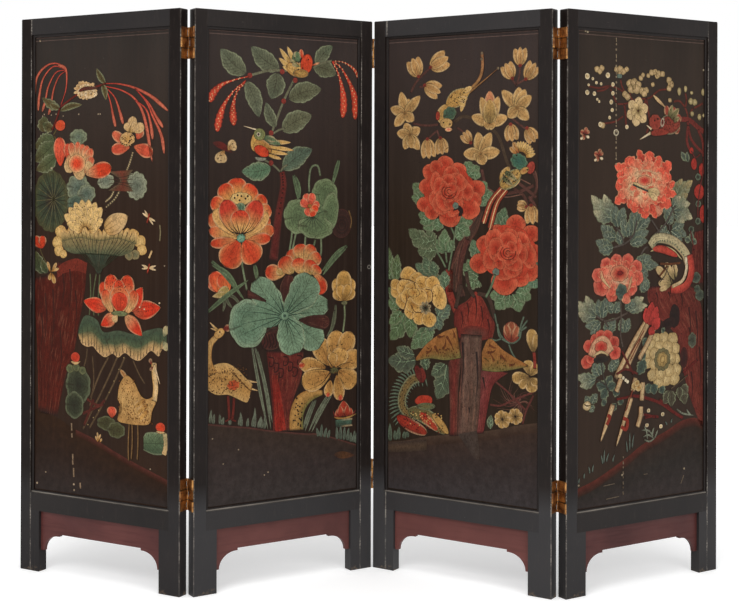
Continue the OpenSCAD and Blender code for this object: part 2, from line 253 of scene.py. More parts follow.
def frame_lacquer(panel, part, sheen, dust, reach_up):
    """Satin black lacquer, rubbed pale along the arrises, with painted highlights down one bead and along the
    ledge under the field, and bare at the feet.

    Dust and painted light grey it by a share below a height in metres."""
    s = Shader(f"black_lacquer_{panel}_{part}")
    place = s.panel_place(panel)
    x, y, z = s.split(place)
    broad = s.noise(place, 7, 3)
    fine = s.noise(s.stretched(place, (60, 60, 9)), 3, 6)
    colour = s.blend(s.fit(broad, 0.3, 0.7), BLACK, BLACK_FADED)
    colour = s.blend(s.fit(fine, 0.55, 0.8, 0, 0.5), colour, BLACK_STREAK)
    # grey low on the legs and over the rails: dust, with painted light from the floor below and painted sheen
    # on the top rail
    colour = s.blend(s.fit(z, reach_up, reach_up + 0.06, dust, 0), colour, DUST_AND_LIGHT_GREY)
    patches = s.fit(s.noise(s.stretched(place, (1, 1, 0.6)), 30, 5), 0.46, 0.6)
    chips = s.fit(s.noise(place, 280, 3), 0.44, 0.56)
    worn_and_lit = None
    for side, strength in zip((0.0, PANEL_W * MM), EDGE_WEAR[panel]):
        away = s.apart(x, side)
        reach = s.sum("SQRT", s.sum("ADD", s.times(away, away), s.times(y, y)))
        line = wear_and_highlight_line(s, reach, ARRIS_RUB, patches, strength * 0.18, strength)
        worn_and_lit = line if worn_and_lit is None else s.most(worn_and_lit, line)
    # a painted highlight down the bead's inner arris on the field's far side
    off = s.apart(x, BEAD_HIGHLIGHT_SIDE[panel] * MM)
    bead_highlight = s.times(wear_and_highlight_line(s, off, BEAD_HIGHLIGHT_REACH, patches, 0.1, 0.8), s.fit(y, 0.001, 0.002, 1, 0))
    worn_and_lit = s.times(s.most(worn_and_lit, bead_highlight), s.fit(chips, 0, 1, 0.25, 1))
    if "stile" not in part:
        # a painted highlight along the ledge where the bottom rail meets the bead
        off = s.apart(z, LEDGE * MM)
        ledge = s.times(s.fit(off, *LEDGE_HIGHLIGHT_REACH, 1, 0), s.fit(y, 0.004, 0.0048, 1, 0))
        worn_and_lit = s.most(worn_and_lit, s.times(ledge, s.fit(broad, 0.35, 0.6, 0.3, 0.75)))
    if (panel, part) == RING_ON:
        # a small pale ring pressed into the lacquer
        from_ring = s.node("ShaderNodeVectorMath", {0: place, 1: RING_AT}, operation="DISTANCE").outputs
        off = s.apart(from_ring["Value"], RING_RADIUS)
        worn_and_lit = s.most(worn_and_lit, s.fit(off, *RING_RUB, 0.5, 0))
    # pale: rubbed wear on the arrises and the ring, painted highlights on the bead and the ledge
    colour = s.blend(worn_and_lit, colour, RUBBED_AND_LIT)
    # bare wood at the feet
    low = s.fit(s.sum("ADD", z, s.times(s.fit(patches, 0, 1, 1, -1), 0.005)), 0.0, 0.009, 1, 0)
    bare = s.times(low, s.fit(s.noise(place, 90, 4), 0.48, 0.6), 0.7)
    colour = s.blend(bare, colour, BARE_WOOD)
    # pale scuffs and specks
    specks = s.times(s.fit(s.cells(place, 95), 0.0, 0.08, 1, 0), s.fit(s.noise(place, 16, 2), 0.54, 0.62))
    colour = s.blend(s.times(specks, 0.7), colour, SCUFFED)
    s.plug(colour, "Base Color")
    s.plug(s.fit(s.sum("ADD", s.times(fine, 0.5), s.most(worn_and_lit, bare)), 0.2, 1.0, 0.36, 0.72), "Roughness")
    s.bump(s.sum("ADD", broad, s.times(fine, 0.25)), 0.18, 0.0006)
    s.set(Specular_IOR_Level=sheen)
    return s.material


def field_lacquer(panel):
    """The painted field's ground: thin dull brown-black lacquer with crazing and faint wiping marks."""
    s = Shader(f"field_lacquer_{panel}")
    place = s.panel_place(panel)
    z = s.split(place)[2]
    broad = s.noise(s.stretched(place, (1, 1, 0.45)), 5, 4, 0.6)
    wipe = s.noise(s.stretched(place, (90, 1, 2.5)), 1, 4)
    middle, top = FIELD_TONES[panel]
    colour = s.blend(s.fit(z, 0.85, 1.3), middle, top)
    colour = s.blend(1.0, colour, s.fit(broad, 0.32, 0.68, 0.74, 1.24), "MULTIPLY")
    colour = s.blend(s.fit(wipe, 0.45, 0.75, 0, 0.3), colour, FIELD_STREAK)
    for height, thick in FIELD_RULES:
        off = s.apart(z, height)
        streak = s.times(s.fit(off, thick, thick * 2.2, 1, 0), s.fit(wipe, 0.3, 0.6, 0.25, 0.6))
        colour = s.blend(streak, colour, FIELD_RULE)
    craze = s.fit(s.cells(place, 150, "DISTANCE_TO_EDGE"), 0.0, 0.035, 1, 0)
    colour = s.blend(s.times(craze, s.fit(broad, 0.45, 0.6), 0.5), colour, FIELD_CRAZE)
    dust = s.times(s.fit(s.cells(place, 60), 0.0, 0.05, 1, 0), s.fit(s.noise(place, 9, 2), 0.55, 0.62))
    colour = s.blend(s.times(dust, 0.75), colour, SPECKED)
    s.plug(colour, "Base Color")
    s.plug(s.fit(wipe, 0.3, 0.7, 0.4, 0.56), "Roughness")
    s.bump(s.sum("ADD", wipe, s.times(craze, -0.6)), 0.12, 0.0005)
    s.set(Specular_IOR_Level=0.085)
    return s.material


def maroon_lacquer(panel):
    """The apron's thin red-brown lacquer over wood, a little lighter or darker from panel to panel."""
    s = Shader(f"maroon_lacquer_{panel}")
    place = s.object_place()
    grain = s.noise(s.stretched(place, (3, 3, 46)), 3, 5)
    broad = s.noise(place, 9, 3)
    colour = s.blend(s.fit(broad, 0.3, 0.7), RED_BROWN, RED_BROWN_FADED)
    colour = s.blend(s.fit(grain, 0.52, 0.8, 0, 0.55), colour, RED_GRAIN)
    dots = s.fit(s.cells(place, 110), 0.0, 0.07, 1, 0)
    colour = s.blend(s.times(dots, s.fit(broad, 0.5, 0.6), 0.6), colour, RED_SPECK)
    colour = s.blend(APRON_GREY[panel][0], colour, APRON_GREY[panel][1])
    s.plug(colour, "Base Color")
    s.plug(s.fit(grain, 0.3, 0.7, 0.42, 0.6), "Roughness")
    s.bump(grain, 0.15, 0.0004)
    s.set(Specular_IOR_Level=0.22)
    return s.material


def brass(name, dark, light, roughness):
    """Aged brass: brown tarnish with rubbed bright places, and painted shade where a hinge's sections meet.
    """
    s = Shader(name)
    place = s.object_place()
    tarnish = s.noise(place, 60, 5, 0.6)
    pits = s.noise(place, 420, 3)
    colour = s.blend(s.fit(tarnish, 0.38, 0.62), dark, light)
    colour = s.blend(s.fit(pits, 0.56, 0.7, 0, 0.7), colour, BRASS_PIT)
    # painted shade in the seams between a hinge's sections
    for seam in HINGE_SEAMS:
        away = s.apart(s.split(place)[2], seam)
        colour = s.blend(s.fit(away, *SEAM_SHADE_REACH, 0.8, 0), colour, BRASS_SEAM_SHADE)
    s.plug(colour, "Base Color")
    s.plug(s.fit(tarnish, 0.35, 0.65, roughness + 0.16, roughness), "Roughness")
    s.bump(s.sum("ADD", tarnish, pits), 0.2, 0.0003)
    s.set(Metallic=0.85)
    return s.material


PLAIN, LINED, VEINED, BARKED = 0.0, 0.33, 0.66, 1.0  # how a slip is drawn over: kept beside its colour
ROUND_KINDS = {LINED: 0.165, VEINED: 0.5}  # the same drawing on a round slip

# what the pigment's own colour turns to where a thing lies over it, sRGB 0 to 255
PETAL_RIM = (222, 186, 140)
LEAF_RIM = (162, 168, 130)
BARK_LIT = (196, 130, 100)
INK_LINE = (34, 20, 12)
INK_STROKE = (37, 21, 12)
GRIT = (43, 25, 15)
BARE_GROUND = (41, 27, 19)
RIM_SHARE = 0.34  # how much of a rim's colour shows


def ruled(s, value, thick):
    """Thin lines wherever the value passes a whole number."""
    saw = s.apart(s.sum("FRACT", value), 0.5)
    return s.fit(saw, 0.5 - thick * 1.7, 0.5 - thick * 0.5)


def pigment(name, grit_depth, flakes, sheen):
    """Dull gouache-like pigment in the slip's own colours, drawn over in ink, crazed and worn."""
    s = Shader(name)
    place = s.object_place()
    own = s.node("ShaderNodeVertexColor", layer_name="tone").outputs
    stroke = s.node("ShaderNodeAttribute", attribute_name="stroke").outputs
    along, across, half = s.node("ShaderNodeSeparateColor", {"Color": stroke["Color"]}).outputs[:3]
    along_mm = s.times(along, stroke["Alpha"], 100)
    off_mm = s.times(s.apart(s.times(across, 2), 1), half, 100)
    mottle = s.noise(place, 62, 5, 0.62)
    waver = s.noise(place, 120, 2)
    strokes = s.noise(s.stretched(place, (1, 1, 0.4)), 420, 3, 0.6, 0.4)
    grit = s.noise(place, 300, 4, 0.72)

    def drawn(kind):
        return s.fit(s.apart(own["Alpha"], kind), 0.06, 0.1, 1, 0)

    lined_round, veined_round = drawn(ROUND_KINDS[LINED]), drawn(ROUND_KINDS[VEINED])
    lined, veined = s.most(drawn(LINED), lined_round), s.most(drawn(VEINED), veined_round)

    # ink lines from a petal's foot, veins on a leaf, streaks down a trunk
    petal = s.times(
        ruled(s, s.sum("ADD", s.times(across, 4), s.times(waver, 0.5)), 0.09),
        s.fit(along, 0.1, 0.8, 1, 0.12),
    )
    slant = s.sum(
        "ADD", s.sum("SUBTRACT", s.times(along_mm, 0.11), s.times(off_mm, 0.085)), s.times(waver, 0.4),
    )
    leaf = s.most(s.times(ruled(s, slant, 0.07), 0.85), s.fit(off_mm, 0.5, 1.4, 1, 0))
    grain_at = {"X": s.times(across, half, 34), "Y": s.times(along_mm, 0.018)}
    grain_place = s.node("ShaderNodeCombineXYZ", grain_at).outputs[0]
    grain = s.noise(grain_place, 1.0, 4, 0.65)
    ink = s.most(s.times(petal, lined), s.times(leaf, veined))
    ink = s.most(s.times(ink, 0.62), s.times(s.fit(grain, 0.54, 0.7), drawn(BARKED), 0.75))

    shaded = s.blend(1.0, own["Color"], s.fit(mottle, 0.25, 0.75, 0.62, 1.18), "MULTIPLY")
    lit = s.times(s.fit(grain, 0.46, 0.3), drawn(BARKED), 0.4)
    shaded = s.blend(lit, shaded, s.blend(0.5, shaded, BARK_LIT))
    inside = s.sum("SUBTRACT", s.times(half, 100), off_mm)  # millimetres in from the side
    round_rim = s.fit(along, 0.78, 0.94)
    petal_rim = s.times(s.fit(inside, 5.5, 2.5), s.fit(along, 0.3, 0.6), drawn(LINED))
    petal_rim = s.times(s.most(petal_rim, s.times(round_rim, lined_round, 0.6)), RIM_SHARE)
    leaf_rim = s.most(s.times(s.fit(inside, 5.0, 2.0), drawn(VEINED)), s.times(round_rim, veined_round, 0.5))
    leaf_rim = s.times(leaf_rim, RIM_SHARE)
    shaded = s.blend(petal_rim, shaded, PETAL_RIM)
    shaded = s.blend(leaf_rim, shaded, LEAF_RIM)
    shaded = s.blend(ink, shaded, s.blend(0.86, shaded, INK_LINE))
    inked = s.blend(s.fit(strokes, 0.5, 0.64, 0, grit_depth), shaded, s.blend(0.72, shaded, INK_STROKE))
    gritty = s.blend(s.fit(grit, 0.54, 0.66, 0, grit_depth), inked, s.blend(0.7, inked, GRIT))
    flaked = s.times(
        s.fit(s.noise(place, 150, 4, 0.7), 0.62, 0.67), s.fit(s.noise(place, 24, 3), 0.44, 0.58),
    )
    colour = s.blend(s.times(flaked, flakes), gritty, BARE_GROUND)
    s.plug(colour, "Base Color")
    s.plug(s.fit(grit, 0.3, 0.7, 0.46, 0.7), "Roughness")
    s.bump(s.sum("ADD", mottle, s.times(grit, 0.5)), 0.25, 0.0004)
    s.set(Specular_IOR_Level=sheen)
    return s.material


BRASS_PLATE = brass("brass_plate", (100, 60, 34), (182, 132, 76), 0.3)
BRASS_SCREW = brass("brass_screw", (104, 70, 38), (180, 136, 82), 0.32)
STEEL_PIN = brass("steel_pin", (128, 100, 66), (220, 190, 146), 0.28)
PIGMENT = pigment("pigment", 0.62, 0.8, 0.08)
EARTH_PIGMENT = pigment("earth_pigment", 0.3, 0.3, 0.08)

for panel in PANELS:
    bead = frame_lacquer(panel, "bead", RAIL_SHEEN, 0.0, 0.0)
    looks = {
        "front_bead": bead, "back_bead": bead, "field_boards": field_lacquer(panel),
        "apron": maroon_lacquer(panel),
    }
    for side, sheen in zip(("left", "right"), STILE_SHEEN[panel]):
        looks[f"{side}_stile"] = frame_lacquer(panel, f"{side}_stile", sheen, LEG_DUST_AND_FLOOR_LIGHT[panel], 0.2)
    # grey on the rails: dust, with painted sheen on the top rail and painted floor light on the bottom one
    for level, dust in zip(("top", "bottom"), RAIL_DUST_AND_PAINTED_LIGHT[panel]):
        looks[f"{level}_rail"] = frame_lacquer(panel, f"{level}_rail", RAIL_SHEEN, dust, 2.0)
    for part, look in looks.items():
        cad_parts[f"panel_{panel}_{part}"].data.materials.clear()
        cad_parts[f"panel_{panel}_{part}"].data.materials.append(look)

for name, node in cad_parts.items():
    if name.startswith("hinge_"):
        kind = name.rsplit("_", 1)[1]
        look = {"pins": STEEL_PIN, "screws": BRASS_SCREW}.get(kind, BRASS_PLATE)
        node.data.materials.clear()
        node.data.materials.append(look)


# ---------------------------------------------------------------- painting
def curve(points, count):
    """count + 1 places on a smooth curve through the points."""
    p = np.array(points, float)
    p = np.vstack([2 * p[0] - p[1], p, 2 * p[-1] - p[-2]])
    u = np.linspace(0, len(p) - 3, count + 1)
    i = np.minimum(u.astype(int), len(p) - 4)
    f = (u - i)[:, None]
    a, b, c, d = p[i], p[i + 1], p[i + 2], p[i + 3]
    cubic = (3 * b - a - 3 * c + d) * f**3
    return 0.5 * (2 * b + (c - a) * f + (2 * a - 5 * b + 4 * c - d) * f**2 + cubic)


def leftward(path):
    """Unit vectors to the left of the path's direction."""
    step = np.gradient(path, axis=0)
    step /= np.maximum(np.linalg.norm(step, axis=1), 1e-6)[:, None]
    return np.stack([-step[:, 1], step[:, 0]], -1)


def scallops(points, count, depth):
    """A curve with that many round bumps to its left."""
    path = curve(points, count * 8)
    wave = np.abs(np.sin(np.linspace(0, math.pi * count, len(path))))
    return path + leftward(path) * (depth * wave)[:, None]


def mixed(a, b, share):
    """Colours from a to b, by share."""
    return a + (b - a) * share[..., None]


def run(*stops):
    """Colour from the first stop to the last along a slip, or out from the middle of a round one."""
    steps = linear(stops)
    at = np.linspace(0, 1, len(stops))
    return lambda t, w: np.stack([np.interp(t, at, steps[:, k]) for k in range(3)], -1)


def over(*stops):
    """Colour from the first stop to the last across a slip."""
    inner = run(*stops)
    return lambda t, w: inner(w, t)


def faded(base, tip, fade):
    """Colour from base to tip along a petal, that starts to change at fade."""
    ends = linear([base, base, tip, tip])
    at = (0, fade, fade + 0.5, 2)
    return lambda t, w: np.stack([np.interp(t, at, ends[:, k]) for k in range(3)], -1)


def rimmed(base, tip, rim, reach=3.0, late=1.0):
    """Colour from base to tip along a slip, and to the rim's colour at both its sides."""
    inner = run(base, tip)
    return lambda t, w: mixed(inner(t**late, w), linear(rim), np.abs(2 * w - 1) ** reach)


def leaf_shape(t):
    """Half width along a leaf, widest near its foot."""
    return np.sin(np.pi * t**0.85) ** 0.85


def petal_shape(t):
    """A round-ended petal, widest near its tip."""
    return np.sqrt(np.maximum(0, np.sin(np.pi * t**1.45)))


def pointed_shape(t):
    """A petal with a broad foot and a pointed tip."""
    return 2.42 * t**0.55 * (1 - t) ** 0.75


def oval_shape(t):
    """An ellipse."""
    return np.sqrt(np.maximum(0, 1 - (2 * t - 1) ** 2))


def stem_shape(t):
    """The same width all along."""
    return np.ones_like(t)


def taper_shape(t):
    """A stem that thins towards its tip."""
    return 1 - 0.85 * t


def strand_shape(t):
    """A hanging strand, which swells and then rounds off."""
    return (0.22 + 0.78 * t**1.5) * np.minimum(1, 7 * (1 - t)) ** 0.5


def catkin_shape(t):
    """A catkin on a thin stalk."""
    return (0.18 + 0.82 * np.clip((t - 0.25) / 0.45, 0, 1) ** 1.3) * np.minimum(1, 8 * (1 - t)) ** 0.5


def blade_shape(t):
    """A blade of grass or a reed."""
    return np.sin(np.pi * (0.12 + 0.88 * t)) ** 0.7


class Motif:
    """One painted motif. Each slip is a closed thin solid let into the board, in the panel's millimetres."""

    def __init__(self, panel, name, plane=0, look=PIGMENT):
        self.panel = panel
        self.look = look
        self.name = f"painting_{panel}_{name}"
        self.rise = FIRST_RISE + plane * PLANE
        self.random = np.random.default_rng(sum(ord(c) for c in self.name))
        self.points = []
        self.faces = []
        self.tones = []
        self.strokes = []
        self.count = 0

    def __enter__(self):
        return self

    def __exit__(self, *error):
        if error[0] is None:
            self.finish()

    def slip(self, places, tones, faces, rim, t, w, half, length, kind):
        """A painted top, a side down from its rim, and a back inside the board."""
        top = len(places)
        depth = np.full(top + len(rim), FIELD_FACE - self.rise)
        depth[top:] = FIELD_FACE + BURIED
        flat = np.vstack([places, places[rim]])
        self.points.append(to_frame(self.panel, flat[:, 0], depth, flat[:, 1]))
        tones = tones * self.random.uniform(*TONE_SPREAD, (top, 1)) * self.random.uniform(*TONE_SPREAD)
        tones = tones * (AGED[self.panel] if self.look == PIGMENT else 1)
        tones = np.hstack([tones, np.full((top, 1), kind)])
        stroke = np.stack([t, w, np.full(top, half / 100), np.full(top, length / 100)], -1)
        self.tones.append(np.vstack([tones, tones[rim]]))
        self.strokes.append(np.vstack([stroke, stroke[rim]]))
        turned_rim = rim[1:] + rim[:1]
        low = range(top, top + len(rim))
        low_next = [*low[1:], low[0]]
        sides = [(a, c, d, b) for a, b, c, d in zip(rim, turned_rim, low, low_next)]
        back = [tuple(reversed(low))]
        self.faces += [tuple(i + self.count for i in face) for face in faces + sides + back]
        self.count += top + len(rim)
        self.rise += LAYER

    def band(self, right, left, paint, line=OUTLINE, ink=INK, kind=PLAIN):
        """A slip between two curves of equal length, with a dark line round it."""
        rows = len(right)
        span = np.maximum(np.linalg.norm(left - right, axis=1), 0.05)
        k = np.clip(line / span, 0.0, 0.3)
        inner = 1 - 2 * k
        w = np.stack([0 * k, k, k + 0.2 * inner, k + 0.5 * inner, k + 0.8 * inner, 1 - k, 0 * k + 1], -1)
        grid = right[:, None] * (1 - w[..., None]) + left[:, None] * w[..., None]
        t = np.repeat(np.linspace(0, 1, rows)[:, None], w.shape[1], 1)
        tones = paint(t, w)
        if line > 0:
            tones[:, 0] = tones[:, -1] = linear(ink)
            tones[0] = tones[-1] = linear(ink)
        columns = w.shape[1]
        index = np.arange(rows * columns).reshape(rows, columns)
        faces = [
            tuple(map(int, (index[i, j], index[i + 1, j], index[i + 1, j + 1], index[i, j + 1])))
            for i in range(rows - 1)
            for j in range(columns - 1)
        ]
        rim = [*index[::-1, 0], *index[0, 1:], *index[1:, -1], *index[-1, -2:0:-1]]
        rim = [int(i) for i in rim][::-1]
        length = np.linalg.norm(np.diff(right + left, axis=0), axis=1).sum() / 2
        self.slip(
            grid.reshape(-1, 2), tones.reshape(-1, 3), faces, rim, t.ravel(), w.ravel(), span.max() / 2,
            length, kind,
        )

    def blade(
        self, points, half, shape, paint, line=OUTLINE, rows=None, ink=INK, kind=PLAIN, frill=0, deep=0.1,
    ):
        """A slip along a curve, its half width times the shape, with that many frills along each side."""
        length = np.linalg.norm(np.diff(np.array(points, float), axis=0), axis=1).sum()
        rows = rows or int(min(40, max(7, length / 4, frill * 5)))
        path = curve(points, rows)
        t = np.linspace(0, 1, rows + 1)
        waves = 1 + deep * (2 * np.abs(np.sin(t * frill * math.pi)) - 1) if frill else 1
        width = np.maximum(half * shape(t) * waves, 0.25)[:, None]
        side = leftward(path) * width
        self.band(path - side, path + side, paint, line, ink, kind)

    def disc(
        self, x, z, rx, rz, paint, turn=0.0, lobes=0, depth=0.0, line=OUTLINE, phase=0.0, around=None,
        ink=INK, kind=PLAIN,
    ):
        """A round slip, with lobes where asked."""
        around = around or int(min(72, max(12, lobes * 6, (rx + rz) / 1.6)))
        angle = np.linspace(0, 2 * math.pi, around, endpoint=False)
        reach = 1 - depth * (1 - np.abs(np.sin(lobes * (angle + phase) / 2))) if lobes else np.ones(around)
        k = min(0.3, line / max(min(rx, rz), 0.1))
        rings = [0.35, 0.7, 1 - k, 1.0]
        a = math.radians(turn)
        px, pz = rx * np.cos(angle) * reach, rz * np.sin(angle) * reach
        edge = np.stack([px * math.cos(a) - pz * math.sin(a), px * math.sin(a) + pz * math.cos(a)], -1)
        centre = np.array([[x, z]], float)
        places = np.vstack([centre] + [centre + edge * r for r in rings])
        t = np.concatenate([[0.0], np.repeat(rings, around)])
        w = np.concatenate([[0.0], np.tile(angle / (2 * math.pi), len(rings))])
        tones = paint(t, w)
        if line > 0:
            tones[-around:] = linear(ink)
        following = [*range(1, around), 0]
        faces = [(0, 1 + i, 1 + j) for i, j in enumerate(following)]
        for ring in range(len(rings) - 1):
            a0, a1 = 1 + ring * around, 1 + (ring + 1) * around
            faces += [(a0 + i, a1 + i, a1 + j, a0 + j) for i, j in enumerate(following)]
        last = 1 + (len(rings) - 1) * around
        rim = [last + i for i in range(around)][::-1]
        self.slip(places, tones, faces, rim, t, w, min(rx, rz), max(rx, rz), ROUND_KINDS.get(kind, kind))

    def mass(self, right, left, paint, line=OUTLINE, kind=PLAIN):
        """A slip between two smooth curves given by a few points each."""
        self.band(curve(right, 26), curve(left, 26), paint, line, INK, kind)

    # rows of like slips
    def clump(self, paint, *rows, lobes=5, depth=0.08, squash=0.9, line=OUTLINE, ink=INK, kind=PLAIN):
        """Each row is a round bump's place and radius."""
        for x, z, r in rows:
            self.disc(x, z, r, r * squash, paint, 0, lobes, depth, line, x, None, ink, kind)

    def petals(
        self, base, tip, *rows, rim=None, shape=petal_shape, ink=INK, line=OUTLINE, frill=0, deep=0.1,
        fade=0.0, kind=LINED,
    ):
        """Each row is a petal's foot, its tip and its half width. Its tip's colour comes in from fade on."""
        paint = rimmed(base, tip, rim) if rim else faded(base, tip, fade)
        for x0, z0, x1, z1, half in rows:
            self.blade(
                [(x0, z0), (x1, z1)], half, shape, paint, line, max(14, frill * 6), ink, kind, frill,
                deep,
            )

    def leaves(self, base, tip, *rows, shape=leaf_shape, frill=4, deep=0.12, rib=None):
        """Each row is a leaf's foot, its tip and its half width. Pale ribs are drawn over it where asked."""
        pale = tuple(int(0.35 * c + 0.65 * max(c, p)) for c, p in zip(base, (126, 132, 106)))
        for x0, z0, x1, z1, half in rows:
            foot, tip_at = np.array([x0, z0], float), np.array([x1, z1], float)
            out = tip_at - foot
            spine = [foot, foot + out * 0.5 + np.array([-out[1], out[0]]) * 0.06, tip_at]
            paint = rimmed(base, tip, pale, 4, 2.2)
            self.blade(
                spine, half, shape, paint, RIBBED_OUTLINE if rib else LEAF_OUTLINE, 20, INK, VEINED,
                frill if half > 9 else 0, deep,
            )
            if rib:
                side = np.array([-out[1], out[0]]) / np.hypot(*out) * half * 0.62
                veins = [
                    [foot + out * at, foot + out * (at + 0.2) + side * turn]
                    for at in (0.26, 0.52)
                    for turn in (-1, 1)
                ]
                level = self.rise
                for path in ([foot, spine[1], foot + out * 0.92], *veins):
                    self.rise = level - LAYER / 2
                    self.stems(rib, RIB_HALF, path, shape=taper_shape, line=0)
                self.rise = level

    def stems(self, colour, half, *paths, shape=stem_shape, line=0.5, tip=None):
        """Each path is a row of places along one stem."""
        for path in paths:
            self.blade(path, half, shape, run(colour, tip or colour), line=line)

    def dots(self, colour, radius, *places, line=0.0):
        """Small round slips, all at one height."""
        for x, z in places:
            self.disc(x, z, radius, radius, run(colour), line=line, around=10)
            self.rise -= LAYER
        self.rise += LAYER

    def speckle(self, colour, radius, count, west, east, low, high):
        """Small dots scattered over a box."""
        draw = self.random
        self.dots(
            colour, radius, *[(draw.uniform(west, east), draw.uniform(low, high)) for _ in range(count)],
        )

    def finish(self):
        """The motif as a mesh on its panel."""
        mesh = bpy.data.meshes.new(self.name)
        mesh.from_pydata(np.vstack(self.points).tolist(), [], self.faces)
        shell = bmesh.new()
        shell.from_mesh(mesh)
        bmesh.ops.recalc_face_normals(shell, faces=shell.faces)
        shell.to_mesh(mesh)
        shell.free()
        for name, values in (("tone", self.tones), ("stroke", self.strokes)):
            layer = mesh.color_attributes.new(name, "FLOAT_COLOR", "POINT")
            layer.data.foreach_set("color", np.clip(np.vstack(values), 0, 4).ravel())
        mesh.materials.append(self.look)
        mesh.validate()
        made = bpy.data.objects.new(self.name, mesh)
        bpy.context.scene.collection.objects.link(made)
        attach(made, f"panel_{self.panel}")


def fan(x, z, low, high, half, count, start, stop):
    """Rows for petals or leaves that spread from a place, between two angles in degrees."""
    rows = []
    for a in np.radians(np.linspace(start, stop, count)):
        rows.append(
            (
                x + low * math.cos(a), z + low * math.sin(a), x + high * math.cos(a),
                z + high * math.sin(a), half,
            )
        )
    return rows


def peony(art, x, z, r, tones, seed, *knobs, squash=0.9):
    """A full round flower: outer knobs, then jittered folded petals closing in on a whorl."""
    draw = random.Random(seed)
    deep, light, rim = tones
    ink = (86, 30, 24)
    for kx, kz, kr in knobs:
        art.disc(
            kx, kz, kr, kr * 0.88, run(deep, light, rim), lobes=4, depth=0.06, phase=kx, ink=ink,
            line=0.9,
        )
    art.disc(x, z, r, r * squash, run(deep, light), lobes=9, depth=0.06, ink=ink, line=0.8)
    for count, out, size in ((7, 0.66, 0.38), (6, 0.42, 0.34), (5, 0.22, 0.27)):
        for i in range(count):
            a = 2 * math.pi * (i + draw.uniform(-0.3, 0.3)) / count + count
            reach = out * r * draw.uniform(0.85, 1.12)
            grow = size * r * draw.uniform(0.8, 1.2)
            turn = math.degrees(a) + 90 + draw.uniform(-35, 35)
            place = (x + math.cos(a) * reach, z + math.sin(a) * reach * squash)
            art.disc(
                *place, grow, grow * draw.uniform(0.6, 0.85), run(deep, light, rim), turn, 3, 0.1, 0.8,
                draw.uniform(0, 3), ink=ink,
            )
    for i in range(3):
        arc = [
            (x + (6 + 7 * i) * math.cos(b + i), z + (5 + 6 * i) * math.sin(b + i))
            for b in np.linspace(0.3, 4.6, 8)
        ]
        art.stems(ink, 0.9, arc, line=0)


def ruffled(art, x, z, rx, rz, tones, *rings, ink=(92, 34, 28)):
    """A full flower of ragged petals. Each ring is a count, its reach in and out, and a half width."""
    draw = art.random
    for step, (count, low, high, half) in enumerate(rings):
        base, tip = tones[min(step, len(tones) - 1)]
        for i in range(count):
            a = 2 * math.pi * (i + draw.uniform(-0.3, 0.3)) / count + step
            reach = high * draw.uniform(0.84, 1.08)
            foot = (x + rx * low * math.cos(a - 0.15), z + rz * low * math.sin(a - 0.15))
            row = (
                *foot, x + rx * reach * math.cos(a), z + rz * reach * math.sin(a),
                half * draw.uniform(0.75, 1.25),
            )
            fade = draw.uniform(0.1, 0.5)
            art.petals(base, tip, row, shape=pointed_shape, ink=ink, line=0.9, frill=3, deep=0.2, fade=fade)
            art.rise -= LAYER * 0.5


def reeds(art, colour, half, *paths):
    """Blades with a dark side and a light one."""
    dark = tuple(int(c * 0.62) for c in colour)
    light = tuple(int(c * 1.16) for c in colour)
    for path in paths:
        art.blade(path, half, blade_shape, rimmed(dark, colour, light, 1.4), line=0.4)


def tufts(art, colour, half, *rows):
    """Each row is a blade's foot, its lean and its height."""
    reeds(
        art, colour, half,
        *[[(x, z), (x + lean * 0.2, z + tall * 0.4), (x + lean, z + tall)] for x, z, lean, tall in rows],
    )


def ground(panel, crest, edge, width, bare):
    """The hill along the foot of a field, its crest tinted from the point numbered bare on."""
    with Motif(panel, "ground", look=EARTH_PIGMENT) as art:
        top = curve(crest, 40)
        foot = np.stack([top[:, 0], np.full(len(top), FIELD_FOOT)], -1)
        art.band(foot, top, over(*EARTH[panel]), line=0)
        lit = curve(crest[bare:], 36)
        art.band(lit - (0, width), lit, over(EARTH[panel][2], edge), line=0)


